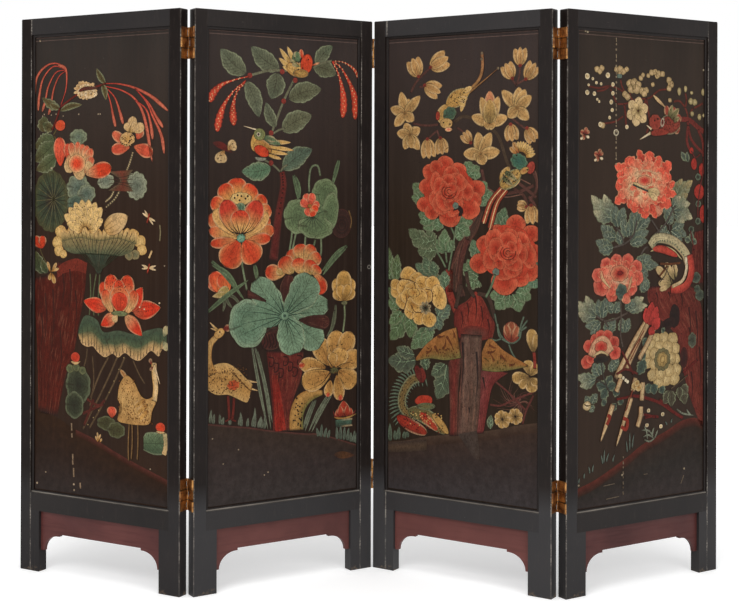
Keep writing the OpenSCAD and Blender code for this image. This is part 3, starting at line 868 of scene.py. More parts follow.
def paint_panel_1():
    crest = [(40, 402), (75, 394), (115, 383), (170, 360), (230, 342), (325, 306), (449, 266)]
    ground(1, crest, (84, 42, 34), 16, 3)
    strand = rimmed((182, 60, 54), (196, 116, 94), MAROON)
    with Motif(1, "strands_left", 1) as art:
        for path in (
            [(140, 1232), (118, 1254), (78, 1254), (42, 1222), (33, 1152)],
            [(138, 1240), (98, 1250), (64, 1222), (51, 1180), (47, 1140)],
            [(136, 1240), (104, 1234), (80, 1200), (70, 1164), (60, 1138)],
            [(137, 1238), (114, 1224), (97, 1192), (88, 1150), (80, 1130)],
            [(120, 1152), (136, 1190), (139, 1222), (134, 1244), (110, 1254)],
        ):
            art.blade(path, 5.2, strand_shape, strand, line=0.6)
        art.leaves(
            OLIVE, (104, 96, 66), (118, 1146, 60, 1174, 12), (118, 1140, 188, 1153, 9),
            (116, 1146, 84, 1160, 9),
        )
        art.stems(
            MAROON, 2.6, [(118, 1148), (160, 1172), (195, 1187), (262, 1202)],
            [(118, 1148), (106, 1118), (92, 1092)],
        )
    with Motif(1, "strands_right", 1) as art:
        for path in (
            [(258, 1202), (300, 1200), (348, 1189), (400, 1166), (450, 1130)],
            [(350, 1188), (390, 1152), (412, 1120), (434, 1092)],
            [(352, 1186), (384, 1154), (404, 1118), (428, 1075), (437, 1030)],
            [(258, 1196), (310, 1184), (352, 1160), (380, 1112), (402, 1010)],
            [(350, 1160), (382, 1138), (396, 1105), (403, 1064)],
            [(262, 1192), (276, 1156), (284, 1124), (292, 1096)],
            [(266, 1190), (290, 1166), (304, 1134), (315, 1102)],
        ):
            art.blade(path, 6.2, strand_shape, strand, line=0.6)
        art.leaves(OLIVE, (100, 92, 64), (260, 1202, 232, 1240, 9), (250, 1202, 262, 1162, 9))
        ruffled(
            art, 198, 1188, 36, 24, (((176, 138, 90), CREAM), (CREAM, BONE)), (17, 0.3, 1.0, 6),
            (12, 0.1, 0.7, 6), ink=BARK,
        )
        ruffled(art, 214, 1180, 22, 14, ((CREAM, BONE),), (9, 0.2, 1.0, 6), ink=BARK)
        art.blade([(176, 1186), (200, 1192), (240, 1192)], 5, oval_shape, run(MAROON, BARK))
        art.speckle(INK, 1.3, 18, 170, 232, 1168, 1206)
    with Motif(1, "leaves_top_left") as art:
        art.leaves(OLIVE, MOSS, (66, 1088, 70, 1128, 20), (96, 1096, 62, 1110, 14))
        art.leaves(
            MOSS, OLIVE, (98, 1076, 34, 1052, 24), (98, 1062, 34, 1018, 26), (106, 1030, 40, 994, 20),
            frill=6,
        )
        art.disc(
            176, 1075, 29, 20, run(SLATE, (104, 122, 104), (130, 142, 122)), lobes=8, depth=0.1,
            kind=VEINED,
        )
        art.stems(OLIVE, 2, [(100, 1080), (110, 1050)], [(108, 1096), (96, 1080)])
    with Motif(1, "lotus_red_top", 1) as art:
        art.disc(119, 1104, 17, 14, run(VERMILION, (190, 80, 48), CORAL), lobes=3, depth=0.06)
        art.petals(VERMILION, CORAL, (120, 1002, 116, 1076, 20), (146, 1016, 142, 1060, 14))
        blush = (206, 104, 78)
        art.petals(
            CREAM, blush, (166, 1012, 152, 1062, 12), (176, 1014, 174, 1064, 11),
            (184, 1014, 190, 1058, 12), fade=0.3,
        )
        art.petals(
            CREAM, blush, (188, 1008, 206, 1054, 12), (192, 1002, 220, 1046, 13),
            (194, 998, 224, 1024, 13), fade=0.3,
        )
        art.petals(
            (204, 140, 104), CREAM, (146, 1032, 150, 986, 17), (156, 1002, 196, 978, 17),
            (196, 986, 218, 1012, 14),
        )
        art.disc(172, 1010, 28, 24, run(VERMILION, (214, 78, 52), CREAM), lobes=5, depth=0.05)
        art.petals((206, 176, 132), VERMILION, (198, 984, 280, 1000, 20), line=0.9)
    with Motif(1, "lotus_bird", 1) as art:
        art.petals(CORAL, (198, 104, 78), (330, 1054, 281, 1084, 13), (356, 1066, 370, 1092, 13))
        art.petals((196, 112, 82), CORAL, (336, 1048, 278, 1042, 15), (346, 1050, 404, 1032, 17))
        art.disc(327, 1067, 24, 18, run(GOLD, (190, 160, 116)), lobes=9, depth=0.08)
        art.speckle(INK, 1.7, 26, 308, 344, 1052, 1080)
        art.disc(340, 1112, 14, 8, run(MAROON, BRICK), turn=20)
        art.petals(
            (190, 160, 104), CREAM, (328, 1084, 350, 1120, 13), (340, 1086, 378, 1098, 13),
            (332, 1084, 322, 1106, 10),
        )
        art.petals((150, 120, 60), CREAM, (334, 1082, 358, 1106, 11), frill=2)
    with Motif(1, "stems_top") as art:
        for path in (
            [(343, 1034), (334, 1010), (324, 990)], [(308, 950), (290, 925), (264, 905)],
            [(290, 950), (278, 930), (262, 918)],
        ):
            art.stems((88, 84, 68), 3.2, path)
            art.dots((176, 162, 130), 2.0, *[tuple(p) for p in curve(path, 9)])
    with Motif(1, "leaf_folded", 1) as art:
        leaf = run((96, 110, 100), (120, 132, 120), (148, 158, 140))
        art.disc(262, 967, 27, 19, leaf, turn=10, lobes=7, depth=0.1, kind=VEINED)
        art.disc(355, 956, 33, 35, leaf, lobes=10, depth=0.12, kind=VEINED)
        art.mass(
            [(272, 990), (306, 968), (270, 944)], [(344, 994), (328, 970), (346, 942)],
            over((84, 78, 62), (98, 52, 42), (104, 56, 44), (84, 78, 62)), line=0,
        )
        for z in (984, 972, 960, 950):
            art.stems((60, 44, 38), 0.8, [(272, z), (305, 968 + (z - 968) * 0.5), (345, z)], line=0)
    with Motif(1, "leaf_round_dark") as art:
        art.disc(
            88, 918, 58, 78, run((66, 52, 44), (52, 62, 52), (60, 74, 58), (76, 78, 54)), lobes=15,
            depth=0.05, line=0.5,
        )
        for i in range(26):
            a = 2 * math.pi * i / 26
            art.stems(
                (92, 92, 66) if i % 2 else (36, 36, 30), 0.9,
                [(98, 922), (90 + 50 * math.cos(a), 918 + 70 * math.sin(a))], line=0,
            )
            art.rise -= LAYER
    with Motif(1, "leaf_scalloped", 1) as art:
        leaf = run((72, 92, 84), SLATE, (120, 132, 112))
        art.disc(176, 950, 38, 36, leaf, turn=-8, lobes=9, depth=0.12, kind=VEINED)
        art.disc(202, 936, 30, 24, leaf, turn=10, lobes=8, depth=0.12, kind=VEINED)
        art.disc(170, 912, 30, 22, run((66, 88, 84), (88, 108, 96)), lobes=6, depth=0.1, kind=VEINED)
    with Motif(1, "lotus_yellow", 2) as art:
        for low, high, half, count, start, stop in (
            (24, 78, 15, 7, 48, 150), (16, 62, 14, 7, 28, 162), (10, 40, 13, 6, 14, 168),
        ):
            art.petals(
                (158, 122, 70), (222, 194, 134), *fan(200, 846, low, high, half, count, start, stop),
                shape=pointed_shape, line=1.8,
            )
        art.petals((182, 146, 88), CREAM, (258, 848, 330, 884, 25), shape=pointed_shape, line=1.8)
        art.speckle(UMBER, 1.3, 46, 138, 262, 850, 912)
    with Motif(1, "umbrella_leaf", 1) as art:
        rim = run((216, 190, 132), (210, 182, 124), (192, 160, 100))
        art.clump(
            rim, (122, 842, 19), (112, 816, 18), (116, 796, 16), (130, 788, 12), (346, 838, 18),
            (366, 824, 18), (372, 804, 15), lobes=4, line=1.2, ink=BARK,
        )
        art.clump(run((96, 104, 84), (140, 130, 96)), (352, 792, 14), (334, 790, 14))
        west = [(126, 842), (128, 806), (160, 790), (196, 792), (218, 772), (236, 742)]
        east = [(354, 838), (346, 804), (310, 788), (282, 790), (262, 768), (246, 742)]
        art.mass(
            west, east, run((158, 142, 100), (96, 104, 80), (62, 80, 66), (52, 68, 58), (48, 64, 54)),
            kind=BARKED,
        )
        top = scallops([(120, 842), (180, 848), (240, 842), (300, 848), (360, 840)], 11, 10)
        foot = curve([(124, 818), (180, 828), (240, 822), (300, 828), (356, 816)], len(top) - 1)
        art.band(foot, top, over((92, 96, 72), (176, 158, 108), (218, 190, 138), (200, 162, 100)), line=0)
        for x in range(148, 346, 13):
            art.stems(
                (60, 46, 36), 1.0, [(x, 846 + 3 * math.sin(x)), (x * 0.85 + 36, 816)], shape=taper_shape,
                line=0,
            )
            art.stems((50, 56, 44), 0.7, [(x + 8, 826), (x * 0.62 + 92, 792), (241, 748)], line=0)
            art.rise -= LAYER
    with Motif(1, "bud_left") as art:
        art.leaves((58, 74, 52), (86, 90, 58), (66, 738, 38, 794, 18), (78, 740, 60, 772, 12))
        art.stems(OLIVE, 1.6, [(52, 806), (64, 780), (96, 740)])
        art.petals(VERMILION, VERMILION, (62, 800, 34, 828, 14), (62, 800, 62, 832, 13), rim=MAROON)
        art.petals(
            OCHRE, GOLD, (88, 742, 78, 768, 5), (92, 742, 108, 766, 5), (90, 744, 116, 752, 4),
            (90, 742, 84, 722, 6), (94, 740, 102, 714, 7),
        )
    with Motif(1, "insects", 1) as art:
        for x, z, a in ((391, 881, -38), (392, 762, 0)):
            turn = math.radians(a)
            for dx, dz in ((-22, 7), (-22, -3), (23, 6), (23, -5)):
                wing = (
                    x + dx * math.cos(turn) - dz * math.sin(turn),
                    z + dx * math.sin(turn) + dz * math.cos(turn),
                )
                art.blade([(x, z), wing], 2.8, leaf_shape, run(CREAM, BONE), line=0.5)
            art.stems(BRICK, 2.2, [(x + 3, z + 11), (x, z), (x - 5, z - 14)])
        art.stems((120, 116, 92), 1.6, [(424, 864), (426, 846), (424, 826)], line=0)
        art.stems(CREAM, 2.6, [(402, 804), (392, 784)], line=0.5)
    with Motif(1, "rock") as art:
        rock = over((70, 26, 18), (90, 32, 22), (64, 23, 17), (82, 29, 21))
        right = [(205, 768), (196, 690), (180, 622), (166, 556), (138, 492), (112, 388)]
        art.mass(
            right, [(110, 770), (104, 690), (84, 600), (66, 540), (62, 480), (58, 392)], rock,
            kind=BARKED, line=0.6,
        )
        art.mass(
            [(116, 742), (104, 650), (92, 560), (78, 392)], [(38, 728), (40, 640), (46, 540), (50, 396)],
            rock, kind=BARKED, line=0.6,
        )
        art.mass(
            [(205, 768), (170, 778), (128, 766), (108, 750)],
            [(200, 742), (170, 748), (136, 742), (112, 730)], run((114, 48, 38)), line=0,
        )
        for x, z, drop in (
            (150, 752, 120), (128, 740, 90), (96, 700, 160), (72, 690, 140), (168, 700, 110),
            (120, 600, 130), (60, 640, 100),
        ):
            art.stems(
                (56, 30, 26), 2.4, [(x, z), (x + 4, z - drop * 0.5), (x - 6, z - drop)],
                shape=taper_shape, line=0,
            )
    with Motif(1, "lotus_red", 2) as art:
        lotus, warm = (206, 62, 40), (206, 162, 114)
        art.petals(
            (176, 96, 70), lotus, (268, 660, 194, 676, 19), (345, 656, 428, 670, 23),
            (336, 656, 374, 716, 21), shape=leaf_shape,
        )
        art.petals(
            warm, (204, 74, 46), (284, 660, 250, 724, 19), (290, 664, 276, 744, 23),
            (322, 664, 330, 744, 23), (306, 660, 302, 732, 20), fade=0.25,
        )
        art.petals(warm, (206, 82, 52), (284, 648, 258, 706, 18), (326, 648, 354, 708, 18), fade=0.4)
        art.petals(warm, (204, 112, 74), (306, 644, 306, 716, 31), fade=0.3)
        art.petals((176, 58, 40), (204, 72, 48), (306, 652, 306, 702, 27))
        art.petals(
            (204, 156, 116), lotus, (298, 646, 248, 618, 17), (322, 648, 374, 600, 18), shape=leaf_shape,
            fade=0.15,
        )
        art.disc(306, 650, 26, 7, run(SAGE, (120, 130, 92)))
        art.petals(CREAM, CREAM, (300, 646, 286, 630, 9))
        art.speckle(INK, 1.3, 24, 268, 340, 706, 738)
        art.speckle((112, 44, 34), 1.3, 14, 356, 408, 656, 680)
        art.dots(BONE, 2, (380, 664), (424, 680), (366, 668))
    with Motif(1, "leaf_frilled", 1) as art:
        top = curve(
            [
                (176, 600), (198, 640), (236, 632), (256, 604), (302, 610), (352, 604), (392, 616),
                (430, 622), (447, 606),
            ],
            60,
        )
        low = [
            (178, 592), (188, 572), (206, 564), (224, 566), (240, 552), (262, 542), (284, 552),
            (302, 544), (322, 556),
        ]
        low = curve(
            low + [(344, 544), (364, 540), (382, 552), (400, 566), (422, 554), (432, 572), (447, 566)],
            60,
        )
        art.band(
            low, top, over((200, 170, 128), (176, 150, 106), (78, 94, 72), (58, 76, 62), (76, 92, 76)),
            kind=PLAIN,
        )
        for i in range(3, 59, 2):
            lean = 0.5 + 0.35 * math.sin(i * 1.7)
            art.stems(
                (44, 52, 44), 1.1, [low[i] * 0.96 + top[i] * 0.04, low[i] * (1 - lean) + top[i] * lean],
                shape=taper_shape, line=0,
            )
            art.rise -= LAYER
        art.petals((90, 112, 92), (182, 178, 140), (436, 600, 447, 628, 9), (436, 592, 448, 570, 10))
    with Motif(1, "stems_low") as art:
        brown = (88, 74, 56)
        art.stems(
            brown, 2.6, [(300, 548), (262, 478), (192, 362)], [(322, 548), (276, 462), (212, 366)],
            [(272, 545), (244, 500), (216, 440)],
        )
        art.dots(
            (150, 136, 100), 1.6,
            *[tuple(p) for p in curve([(318, 545), (262, 440), (200, 366)], 15)[::2]],
        )
        art.stems(
            brown, 2.0, [(206, 562), (202, 535), (190, 500)], [(345, 542), (362, 512), (382, 486)],
            [(222, 545), (226, 480), (214, 420)],
        )
        art.stems(
            (84, 96, 70), 2.0, [(233, 744), (224, 690), (226, 640)], [(214, 744), (216, 690), (212, 640)],
            [(244, 744), (240, 690), (240, 640)],
        )
        art.stems(
            (82, 40, 34), 3.4, [(200, 440), (240, 425), (262, 440)], [(190, 400), (230, 418), (258, 430)],
            [(196, 372), (214, 410), (226, 440)],
        )
    with Motif(1, "leaf_bud_low", 1) as art:
        leaf = run((44, 48, 40), (54, 62, 50), (70, 80, 62))
        art.disc(178, 470, 40, 48, leaf, lobes=9, depth=0.08, kind=VEINED, line=0.6)
        art.disc(166, 420, 30, 34, leaf, lobes=6, depth=0.08, kind=VEINED, line=0.6)
        art.clump(run((76, 88, 66), (110, 118, 88)), (152, 508, 13), (172, 512, 12), (192, 506, 12))
        art.disc(169, 537, 15, 13, run(VERMILION, (182, 56, 42), CORAL), lobes=3, depth=0.05)
        art.blade([(154, 526), (170, 522), (186, 528)], 4, leaf_shape, run(CREAM))
    with Motif(1, "crane", 2) as art:
        hide = (184, 146, 92)
        art.stems(
            (122, 98, 66), 2.0, [(336, 396), (333, 340), (334, 300)],
            [(344, 396), (345, 350), (342, 304)], [(361, 396), (362, 350), (360, 304)],
        )
        art.petals((96, 80, 54), OCHRE, (336, 488, 308, 516, 6))
        low = [
            (299, 446), (314, 420), (300, 394), (330, 388), (366, 388), (396, 394), (404, 424),
            (417, 446),
        ]
        high = [
            (301, 456), (308, 484), (328, 504), (350, 490), (368, 462), (384, 452), (400, 456),
            (408, 466),
        ]
        art.mass(low, high, over(hide, (202, 168, 112), hide), line=1.2)
        art.blade(
            [(410, 448), (414, 480), (410, 512), (409, 540)], 8, stem_shape,
            over(CREAM, (214, 192, 150), GOLD),
        )
        art.petals(CREAM, BONE, (409, 536, 426, 490, 4), shape=taper_shape)
        art.petals(BRICK, MAROON, (406, 530, 397, 520, 4), (402, 534, 396, 548, 5))
        art.petals(
            OCHRE, (200, 160, 96), (384, 450, 352, 430, 9), (392, 440, 360, 416, 9),
            (392, 426, 366, 400, 9), line=0.8,
        )
        for west, east, low_z, high_z in ((304, 350, 402, 494), (330, 404, 394, 446)):
            art.speckle((112, 74, 36), 1.5, 46, west, east, low_z, high_z)
            art.speckle((92, 58, 30), 1.1, 30, west, east, low_z, high_z)
    with Motif(1, "buds_low", 1) as art:
        leaf = run((62, 64, 44), (78, 82, 56))
        art.disc(266, 384, 30, 18, leaf, lobes=6, depth=0.1, kind=VEINED)
        art.disc(296, 370, 28, 20, leaf, lobes=7, depth=0.1, kind=VEINED)
        art.petals((150, 70, 48), CORAL, (283, 398, 282, 426, 15))
        art.mass(
            [(378, 330), (410, 322), (447, 326)], [(378, 362), (392, 374), (446, 376)],
            over((64, 84, 66), (84, 108, 84), (104, 126, 100)), kind=VEINED,
        )
        art.blade(
            [(438, 324), (444, 350), (440, 376)], 6, stem_shape, run(CREAM, (170, 164, 128)), line=0.6,
            frill=5,
        )
        art.disc(428, 388, 15, 12, run(VERMILION, VERMILION, CORAL), lobes=3, depth=0.05)
        art.blade([(414, 378), (428, 376), (443, 378)], 3.4, leaf_shape, run(CREAM))
        art.petals(
            OCHRE, GOLD, (241, 336, 238, 360, 3), (241, 336, 232, 350, 3), (241, 338, 248, 356, 3),
            (246, 336, 252, 346, 3),
        )
    with Motif(1, "chips", 1) as art:
        art.dots((176, 164, 146), 2.6, (53, 1315), (47, 217), (165, 226), (166, 212), (91, 999))
        art.dots(
            (168, 158, 140), 1.7, (62, 1128), (67, 1132), (90, 1130), (105, 1132), (128, 1127),
            (177, 1130), (238, 1129), (244, 1129), (75, 247), (398, 287), (438, 768),
        )
        for x, z, drop in (
            (157, 375, 18), (158, 350, 10), (161, 300, 14), (161, 284, 10), (164, 266, 22),
            (185, 232, 14),
        ):
            art.stems((140, 124, 106), 1.8, [(x, z), (x + 1, z - drop)], line=0)


def paint_panel_2():
    crest = [(40, 398), (100, 388), (150, 380), (205, 368), (300, 352), (350, 345), (449, 311)]
    ground(2, crest, (86, 50, 44), 5, 0)
    with Motif(2, "branch") as art:
        art.blade(
            [(236, 992), (240, 955), (226, 880), (213, 776)], 10, lambda t: 0.8 + 0.5 * t,
            rimmed(MAROON, (86, 36, 32), UMBER),
        )
        art.dots((40, 26, 24), 2.4, *[tuple(p) for p in curve([(237, 985), (239, 950), (228, 890)], 10)])
        stalk = (104, 104, 82)
        art.stems(
            stalk, 3.2, [(205, 1078), (218, 1110), (240, 1162), (258, 1196), (272, 1220)],
            [(148, 1220), (200, 1234), (252, 1236)],
        )
        art.stems(
            stalk, 2.6, [(320, 1246), (350, 1260), (378, 1267)], [(180, 1022), (210, 1008), (232, 990)],
            [(252, 1008), (240, 1002), (232, 990)], [(207, 1080), (228, 1092), (244, 1096)],
        )
        art.dots(
            (128, 54, 46), 7, (148, 1220), (236, 1233), (240, 1162), (206, 1084), (272, 1214),
            (206, 1012), line=0.8,
        )
    sage = (90, 94, 74)
    with Motif(2, "leaves_top_left") as art:
        art.leaves(
            sage, (90, 98, 80), (138, 1224, 70, 1280, 25), (228, 1238, 151, 1290, 24),
            (222, 1230, 205, 1166, 26), deep=0.05,
        )
        art.leaves(sage, (90, 98, 80), (138, 1206, 173, 1120, 21), (219, 1098, 192, 1158, 15), deep=0.05)
    with Motif(2, "leaves_top_right") as art:
        art.leaves(
            (88, 90, 68), (94, 96, 74), (254, 1168, 347, 1195, 25), (236, 1090, 320, 1130, 26),
            (322, 1252, 388, 1232, 23), deep=0.05,
        )
        art.leaves(sage, (84, 98, 76), (330, 1254, 378, 1304, 18), deep=0.05)
    with Motif(2, "leaves_perch") as art:
        art.leaves((84, 112, 86), (96, 122, 96), (206, 1000, 126, 991, 23), deep=0.05)
        art.leaves((84, 100, 82), (80, 98, 84), (238, 996, 321, 1047, 25), deep=0.05)
    catkin = rimmed((184, 66, 48), (204, 78, 54), MAROON)
    with Motif(2, "catkins_left", 1) as art:
        for path in (
            [(146, 1218), (108, 1208), (72, 1194), (50, 1172), (42, 1152)],
            [(138, 1208), (104, 1180), (80, 1148), (67, 1115), (61, 1083)],
            [(136, 1204), (114, 1180), (104, 1150), (103, 1125), (106, 1099)],
        ):
            art.blade(path, 9.5, catkin_shape, catkin, line=0.8, frill=12, deep=0.12)
            art.dots(
                (206, 158, 118), 1.7,
                *[tuple(p + (2 * (-1) ** i, 0)) for i, p in enumerate(curve(path, 20)[2:-1])],
            )
    with Motif(2, "catkins_right", 1) as art:
        for path, half in (
            ([(374, 1266), (410, 1264), (440, 1248), (457, 1220)], 4),
            ([(376, 1266), (402, 1250), (430, 1208), (443, 1170), (443, 1122)], 10),
            ([(376, 1266), (392, 1240), (404, 1205), (410, 1165), (407, 1125)], 10),
        ):
            art.blade(path, half, catkin_shape, catkin, line=0.8, frill=12, deep=0.12)
            art.dots(
                (206, 158, 118), 1.7,
                *[tuple(p + (2 * (-1) ** i, 0)) for i, p in enumerate(curve(path, 22)[2:-1])],
            )
    with Motif(2, "bird_top", 2) as art:
        plume = (200, 164, 96)
        art.petals(
            OCHRE, plume, (264, 1246, 228, 1290, 7), (262, 1240, 226, 1266, 7), (266, 1236, 236, 1246, 7),
            (272, 1252, 249, 1295, 7), shape=blade_shape,
        )
        art.blade(
            [(246, 1248), (275, 1240), (304, 1246)], 18, oval_shape, rimmed(GOLD, plume, OCHRE),
            kind=LINED,
        )
        art.petals(MOSS, (96, 118, 84), (262, 1260, 284, 1280, 12), (280, 1256, 276, 1284, 10))
        art.petals(VERMILION, VERMILION, (292, 1266, 287, 1290, 6))
        art.disc(303, 1255, 17, 25, run(VERMILION, (196, 72, 42)), turn=-12)
        art.disc(287, 1231, 22, 11, run((196, 160, 92), OCHRE), kind=VEINED)
        art.petals((110, 116, 80), (128, 128, 84), (276, 1254, 256, 1262, 5), (284, 1248, 262, 1252, 5))
        art.petals(CORAL, (206, 120, 80), (318, 1252, 340, 1260, 3))
        art.dots(INK, 2, (308, 1266), (262, 1256), (270, 1268), (280, 1258), (292, 1244), (280, 1240))
    with Motif(2, "bird_perched", 2) as art:
        art.petals(CREAM, BONE, (178, 1088, 131, 1099, 3), shape=taper_shape)
        art.petals(
            GOLD, (200, 158, 88), (196, 1062, 260, 1062, 6), (196, 1052, 268, 1043, 6),
            (196, 1042, 252, 1033, 6), (190, 1036, 234, 1021, 6), shape=blade_shape,
        )
        art.disc(164, 1062, 14, 24, run((192, 150, 76), GOLD), turn=-10)
        art.blade(
            [(158, 1056), (176, 1050), (208, 1040)], 19, oval_shape, rimmed(GOLD, OCHRE, OCHRE),
            kind=LINED,
        )
        art.petals(MOSS, (98, 118, 86), (184, 1070, 232, 1056, 9), (182, 1076, 218, 1066, 8))
        art.disc(180, 1040, 22, 13, run(VERMILION, (196, 70, 44)), turn=-24)
        art.disc(174, 1080, 16, 15, run((96, 112, 76), (128, 128, 80)))
        art.disc(171, 1080, 5, 5, run(INK, INK, BONE), line=0)
        art.blade([(160, 1024), (176, 1020), (194, 1022)], 5, oval_shape, run((128, 128, 112)))
        art.stems(
            INK, 1, [(200, 1056), (244, 1052)], [(200, 1046), (240, 1040)], [(196, 1036), (226, 1028)],
            line=0,
        )
    with Motif(2, "butterfly") as art:
        wing = (196, 166, 118)
        art.blade(
            [(50, 1058), (76, 1050), (104, 1034)], 8, leaf_shape, run((72, 40, 36), MAROON, (60, 38, 34)),
            line=0,
        )
        art.petals(
            OCHRE, wing, (82, 1040, 60, 1012, 12), (76, 1038, 78, 1010, 11), (90, 1040, 108, 1064, 11),
            (92, 1046, 114, 1050, 9),
        )
        art.dots(INK, 1.8, (64, 1020), (72, 1016), (72, 1028), (102, 1056), (106, 1048))
    with Motif(2, "lotus_large", 1) as art:
        red, inner = (194, 68, 40), (200, 154, 94)
        art.petals(
            (204, 148, 84), red, (116, 928, 112, 976, 26), (102, 915, 74, 960, 23),
            (132, 918, 160, 958, 24), (92, 900, 46, 922, 20), (160, 900, 190, 932, 19), fade=0.3,
        )
        art.petals(
            inner, red, (160, 880, 206, 904, 20), (125, 836, 38, 886, 24), (125, 834, 40, 852, 17),
            (130, 832, 204, 880, 22), (132, 832, 216, 853, 20), fade=0.5,
        )
        art.petals((196, 120, 74), red, (118, 826, 44, 820, 14), (140, 826, 206, 832, 15), fade=0.3)
        art.disc(125, 926, 30, 16, run(GOLD, (204, 172, 112)), lobes=9, depth=0.1)
        art.dots(INK, 2.6, (108, 928), (116, 934), (126, 932), (137, 926), (121, 922), (143, 932))
        art.disc(124, 905, 13, 12, run(TEAL, (150, 160, 120)), kind=VEINED)
        art.stems((44, 66, 52), 0.9, *[[(124 + i, 914), (124 + i, 896)] for i in (-8, -4, 0, 4, 8)], line=0)
        art.petals(inner, inner, (116, 836, 52, 900, 20), (134, 836, 198, 892, 20))
        art.petals(
            inner, (186, 62, 44), (116, 838, 80, 924, 27), (134, 838, 174, 922, 27), line=2, fade=0.22,
        )
        art.petals(inner, (194, 64, 42), (123, 842, 123, 900, 27), line=2, fade=0.3)
        art.petals((196, 66, 40), red, (120, 828, 84, 764, 33), (132, 828, 168, 774, 31), rim=(196, 124, 76))
        for dx in (-58, -42, -26, -12, 12, 26, 42, 58):
            art.stems(
                INK, 1.3,
                [
                    (124 + dx * 0.16, 842), (124 + dx * 0.6, 860 - abs(dx) * 0.1),
                    (124 + dx, 872 + abs(dx) * 0.2),
                ],
                shape=taper_shape, line=0,
            )
        art.disc(125, 832, 12, 11, run((128, 164, 138), TEAL), lobes=8, depth=0.1)
    with Motif(2, "stems_mid") as art:
        art.stems(
            (108, 120, 92), 2.6, [(127, 820), (129, 770), (142, 706)],
            [(163, 768), (166, 750), (168, 730)],
            [(312, 940), (312, 975), (318, 1002), (336, 1006), (344, 980)],
            [(265, 850), (262, 825), (257, 798)], [(276, 846), (270, 820), (264, 796)],
            [(302, 836), (301, 820), (300, 804)], [(330, 826), (326, 812), (318, 800)],
            [(346, 830), (346, 792), (335, 770)],
        )
        reeds(
            art, (90, 106, 78), 6, [(397, 1022), (388, 992), (376, 952)],
            [(268, 984), (276, 955), (282, 920)], [(272, 980), (282, 955), (286, 925)],
            [(422, 808), (390, 788), (346, 744)], [(418, 804), (384, 776), (350, 736)],
            [(48, 780), (88, 742), (136, 684)], [(50, 772), (94, 744), (128, 690)],
            [(38, 660), (90, 698), (147, 733)], [(162, 768), (166, 750), (170, 726)],
        )
    with Motif(2, "leaf_folded", 1) as art:
        green = run((88, 104, 74), (94, 112, 80), (112, 128, 92))
        art.disc(356, 936, 38, 40, green, lobes=7, depth=0.05, kind=VEINED)
        art.disc(372, 892, 24, 52, green, turn=-8, lobes=7, depth=0.05, kind=VEINED)
        art.disc(278, 882, 38, 44, green, turn=10, lobes=8, depth=0.06, kind=VEINED)
        art.disc(330, 856, 52, 30, green, turn=-6, lobes=8, depth=0.08, kind=VEINED)
        art.disc(326, 882, 30, 30, run((88, 104, 74), (92, 108, 78)), line=0)
        for turn in np.radians((196, 214, 232, 250, 268, 286, 304, 322, 20, 46)):
            art.stems(
                (52, 60, 46), 1.2, [(322, 884), (322 + 46 * math.cos(turn), 884 + 42 * math.sin(turn))],
                shape=taper_shape, line=0,
            )
        art.petals(
            (188, 70, 44), CORAL, (315, 905, 300, 938, 12), (318, 905, 320, 940, 12),
            (312, 905, 288, 922, 12), (316, 902, 302, 886, 12), (318, 902, 340, 916, 11),
        )
        art.petals((206, 160, 110), VERMILION, (312, 898, 338, 904, 12), (318, 900, 324, 882, 12))
        art.disc(313, 908, 6, 5, run(OCHRE))
    with Motif(2, "ring_dark") as art:
        art.disc(404, 864, 30, 36, run((46, 34, 30), (56, 38, 34)), line=1.6, ink=(78, 44, 38))
        for r in (22, 15, 8):
            art.disc(406, 860, r, r * 1.15, run((50, 36, 32)), line=1.3, ink=(76, 44, 38))
        art.stems((110, 86, 52), 1.4, [(426, 896), (434, 872), (431, 852)], line=0)
    with Motif(2, "lotus_second", 1) as art:
        red, inner = (188, 66, 40), (194, 148, 94)
        art.petals(
            inner, red, (290, 766, 250, 796, 20), (292, 772, 284, 816, 21), (300, 772, 324, 812, 19),
            (304, 762, 344, 788, 19), fade=0.4,
        )
        art.petals(
            inner, red, (246, 742, 190, 752, 20), (264, 742, 236, 784, 24), (284, 742, 282, 782, 22),
            (304, 738, 324, 774, 22), (322, 738, 340, 760, 17), fade=0.3,
        )
        art.petals(inner, red, (330, 744, 352, 690, 21), ink=BARK)
        art.petals(
            (150, 130, 78), (176, 140, 84), (240, 742, 222, 754, 9), (268, 744, 260, 756, 10),
            (292, 742, 292, 754, 9), (318, 738, 312, 748, 9),
        )
    with Motif(2, "bud_left") as art:
        art.petals(
            (200, 120, 66), (192, 66, 42), (92, 704, 38, 744, 21), (80, 698, 50, 754, 21),
            (96, 708, 70, 746, 19), rim=VERMILION,
        )
        art.petals(CREAM, (160, 140, 84), (60, 698, 94, 714, 12), (50, 696, 84, 702, 8))
        reeds(
            art, sage, 4, [(84, 700), (92, 680), (104, 666)], [(88, 700), (110, 690), (132, 662)],
            [(80, 698), (82, 676), (78, 658)],
        )
    with Motif(2, "leaf_wheel", 2) as art:
        dark = rimmed((44, 30, 27), (76, 40, 35), UMBER)
        for path, half in (
            ([(250, 664), (252, 700), (256, 742)], 24), ([(290, 640), (330, 622), (372, 622)], 24),
            ([(236, 600), (212, 590), (184, 570)], 28), ([(160, 720), (176, 700), (196, 680)], 18),
        ):
            art.blade(path, half, oval_shape, dark, kind=BARKED)
        for i in range(7):
            art.stems(
                (40, 27, 25), 1.6,
                [(184 + i * 8, 600), (190 + i * 8, 584 - 5 * (i % 3)), (182 + i * 9, 566)], line=0,
            )
        edge, green = (126, 150, 124), (115, 140, 113)
        lobe = rimmed((95, 122, 98), green, edge, 4)
        art.disc(
            144, 628, 51, 60, run(green, (86, 114, 92), edge), turn=14, lobes=7, depth=0.05, kind=VEINED,
            line=1.4,
        )
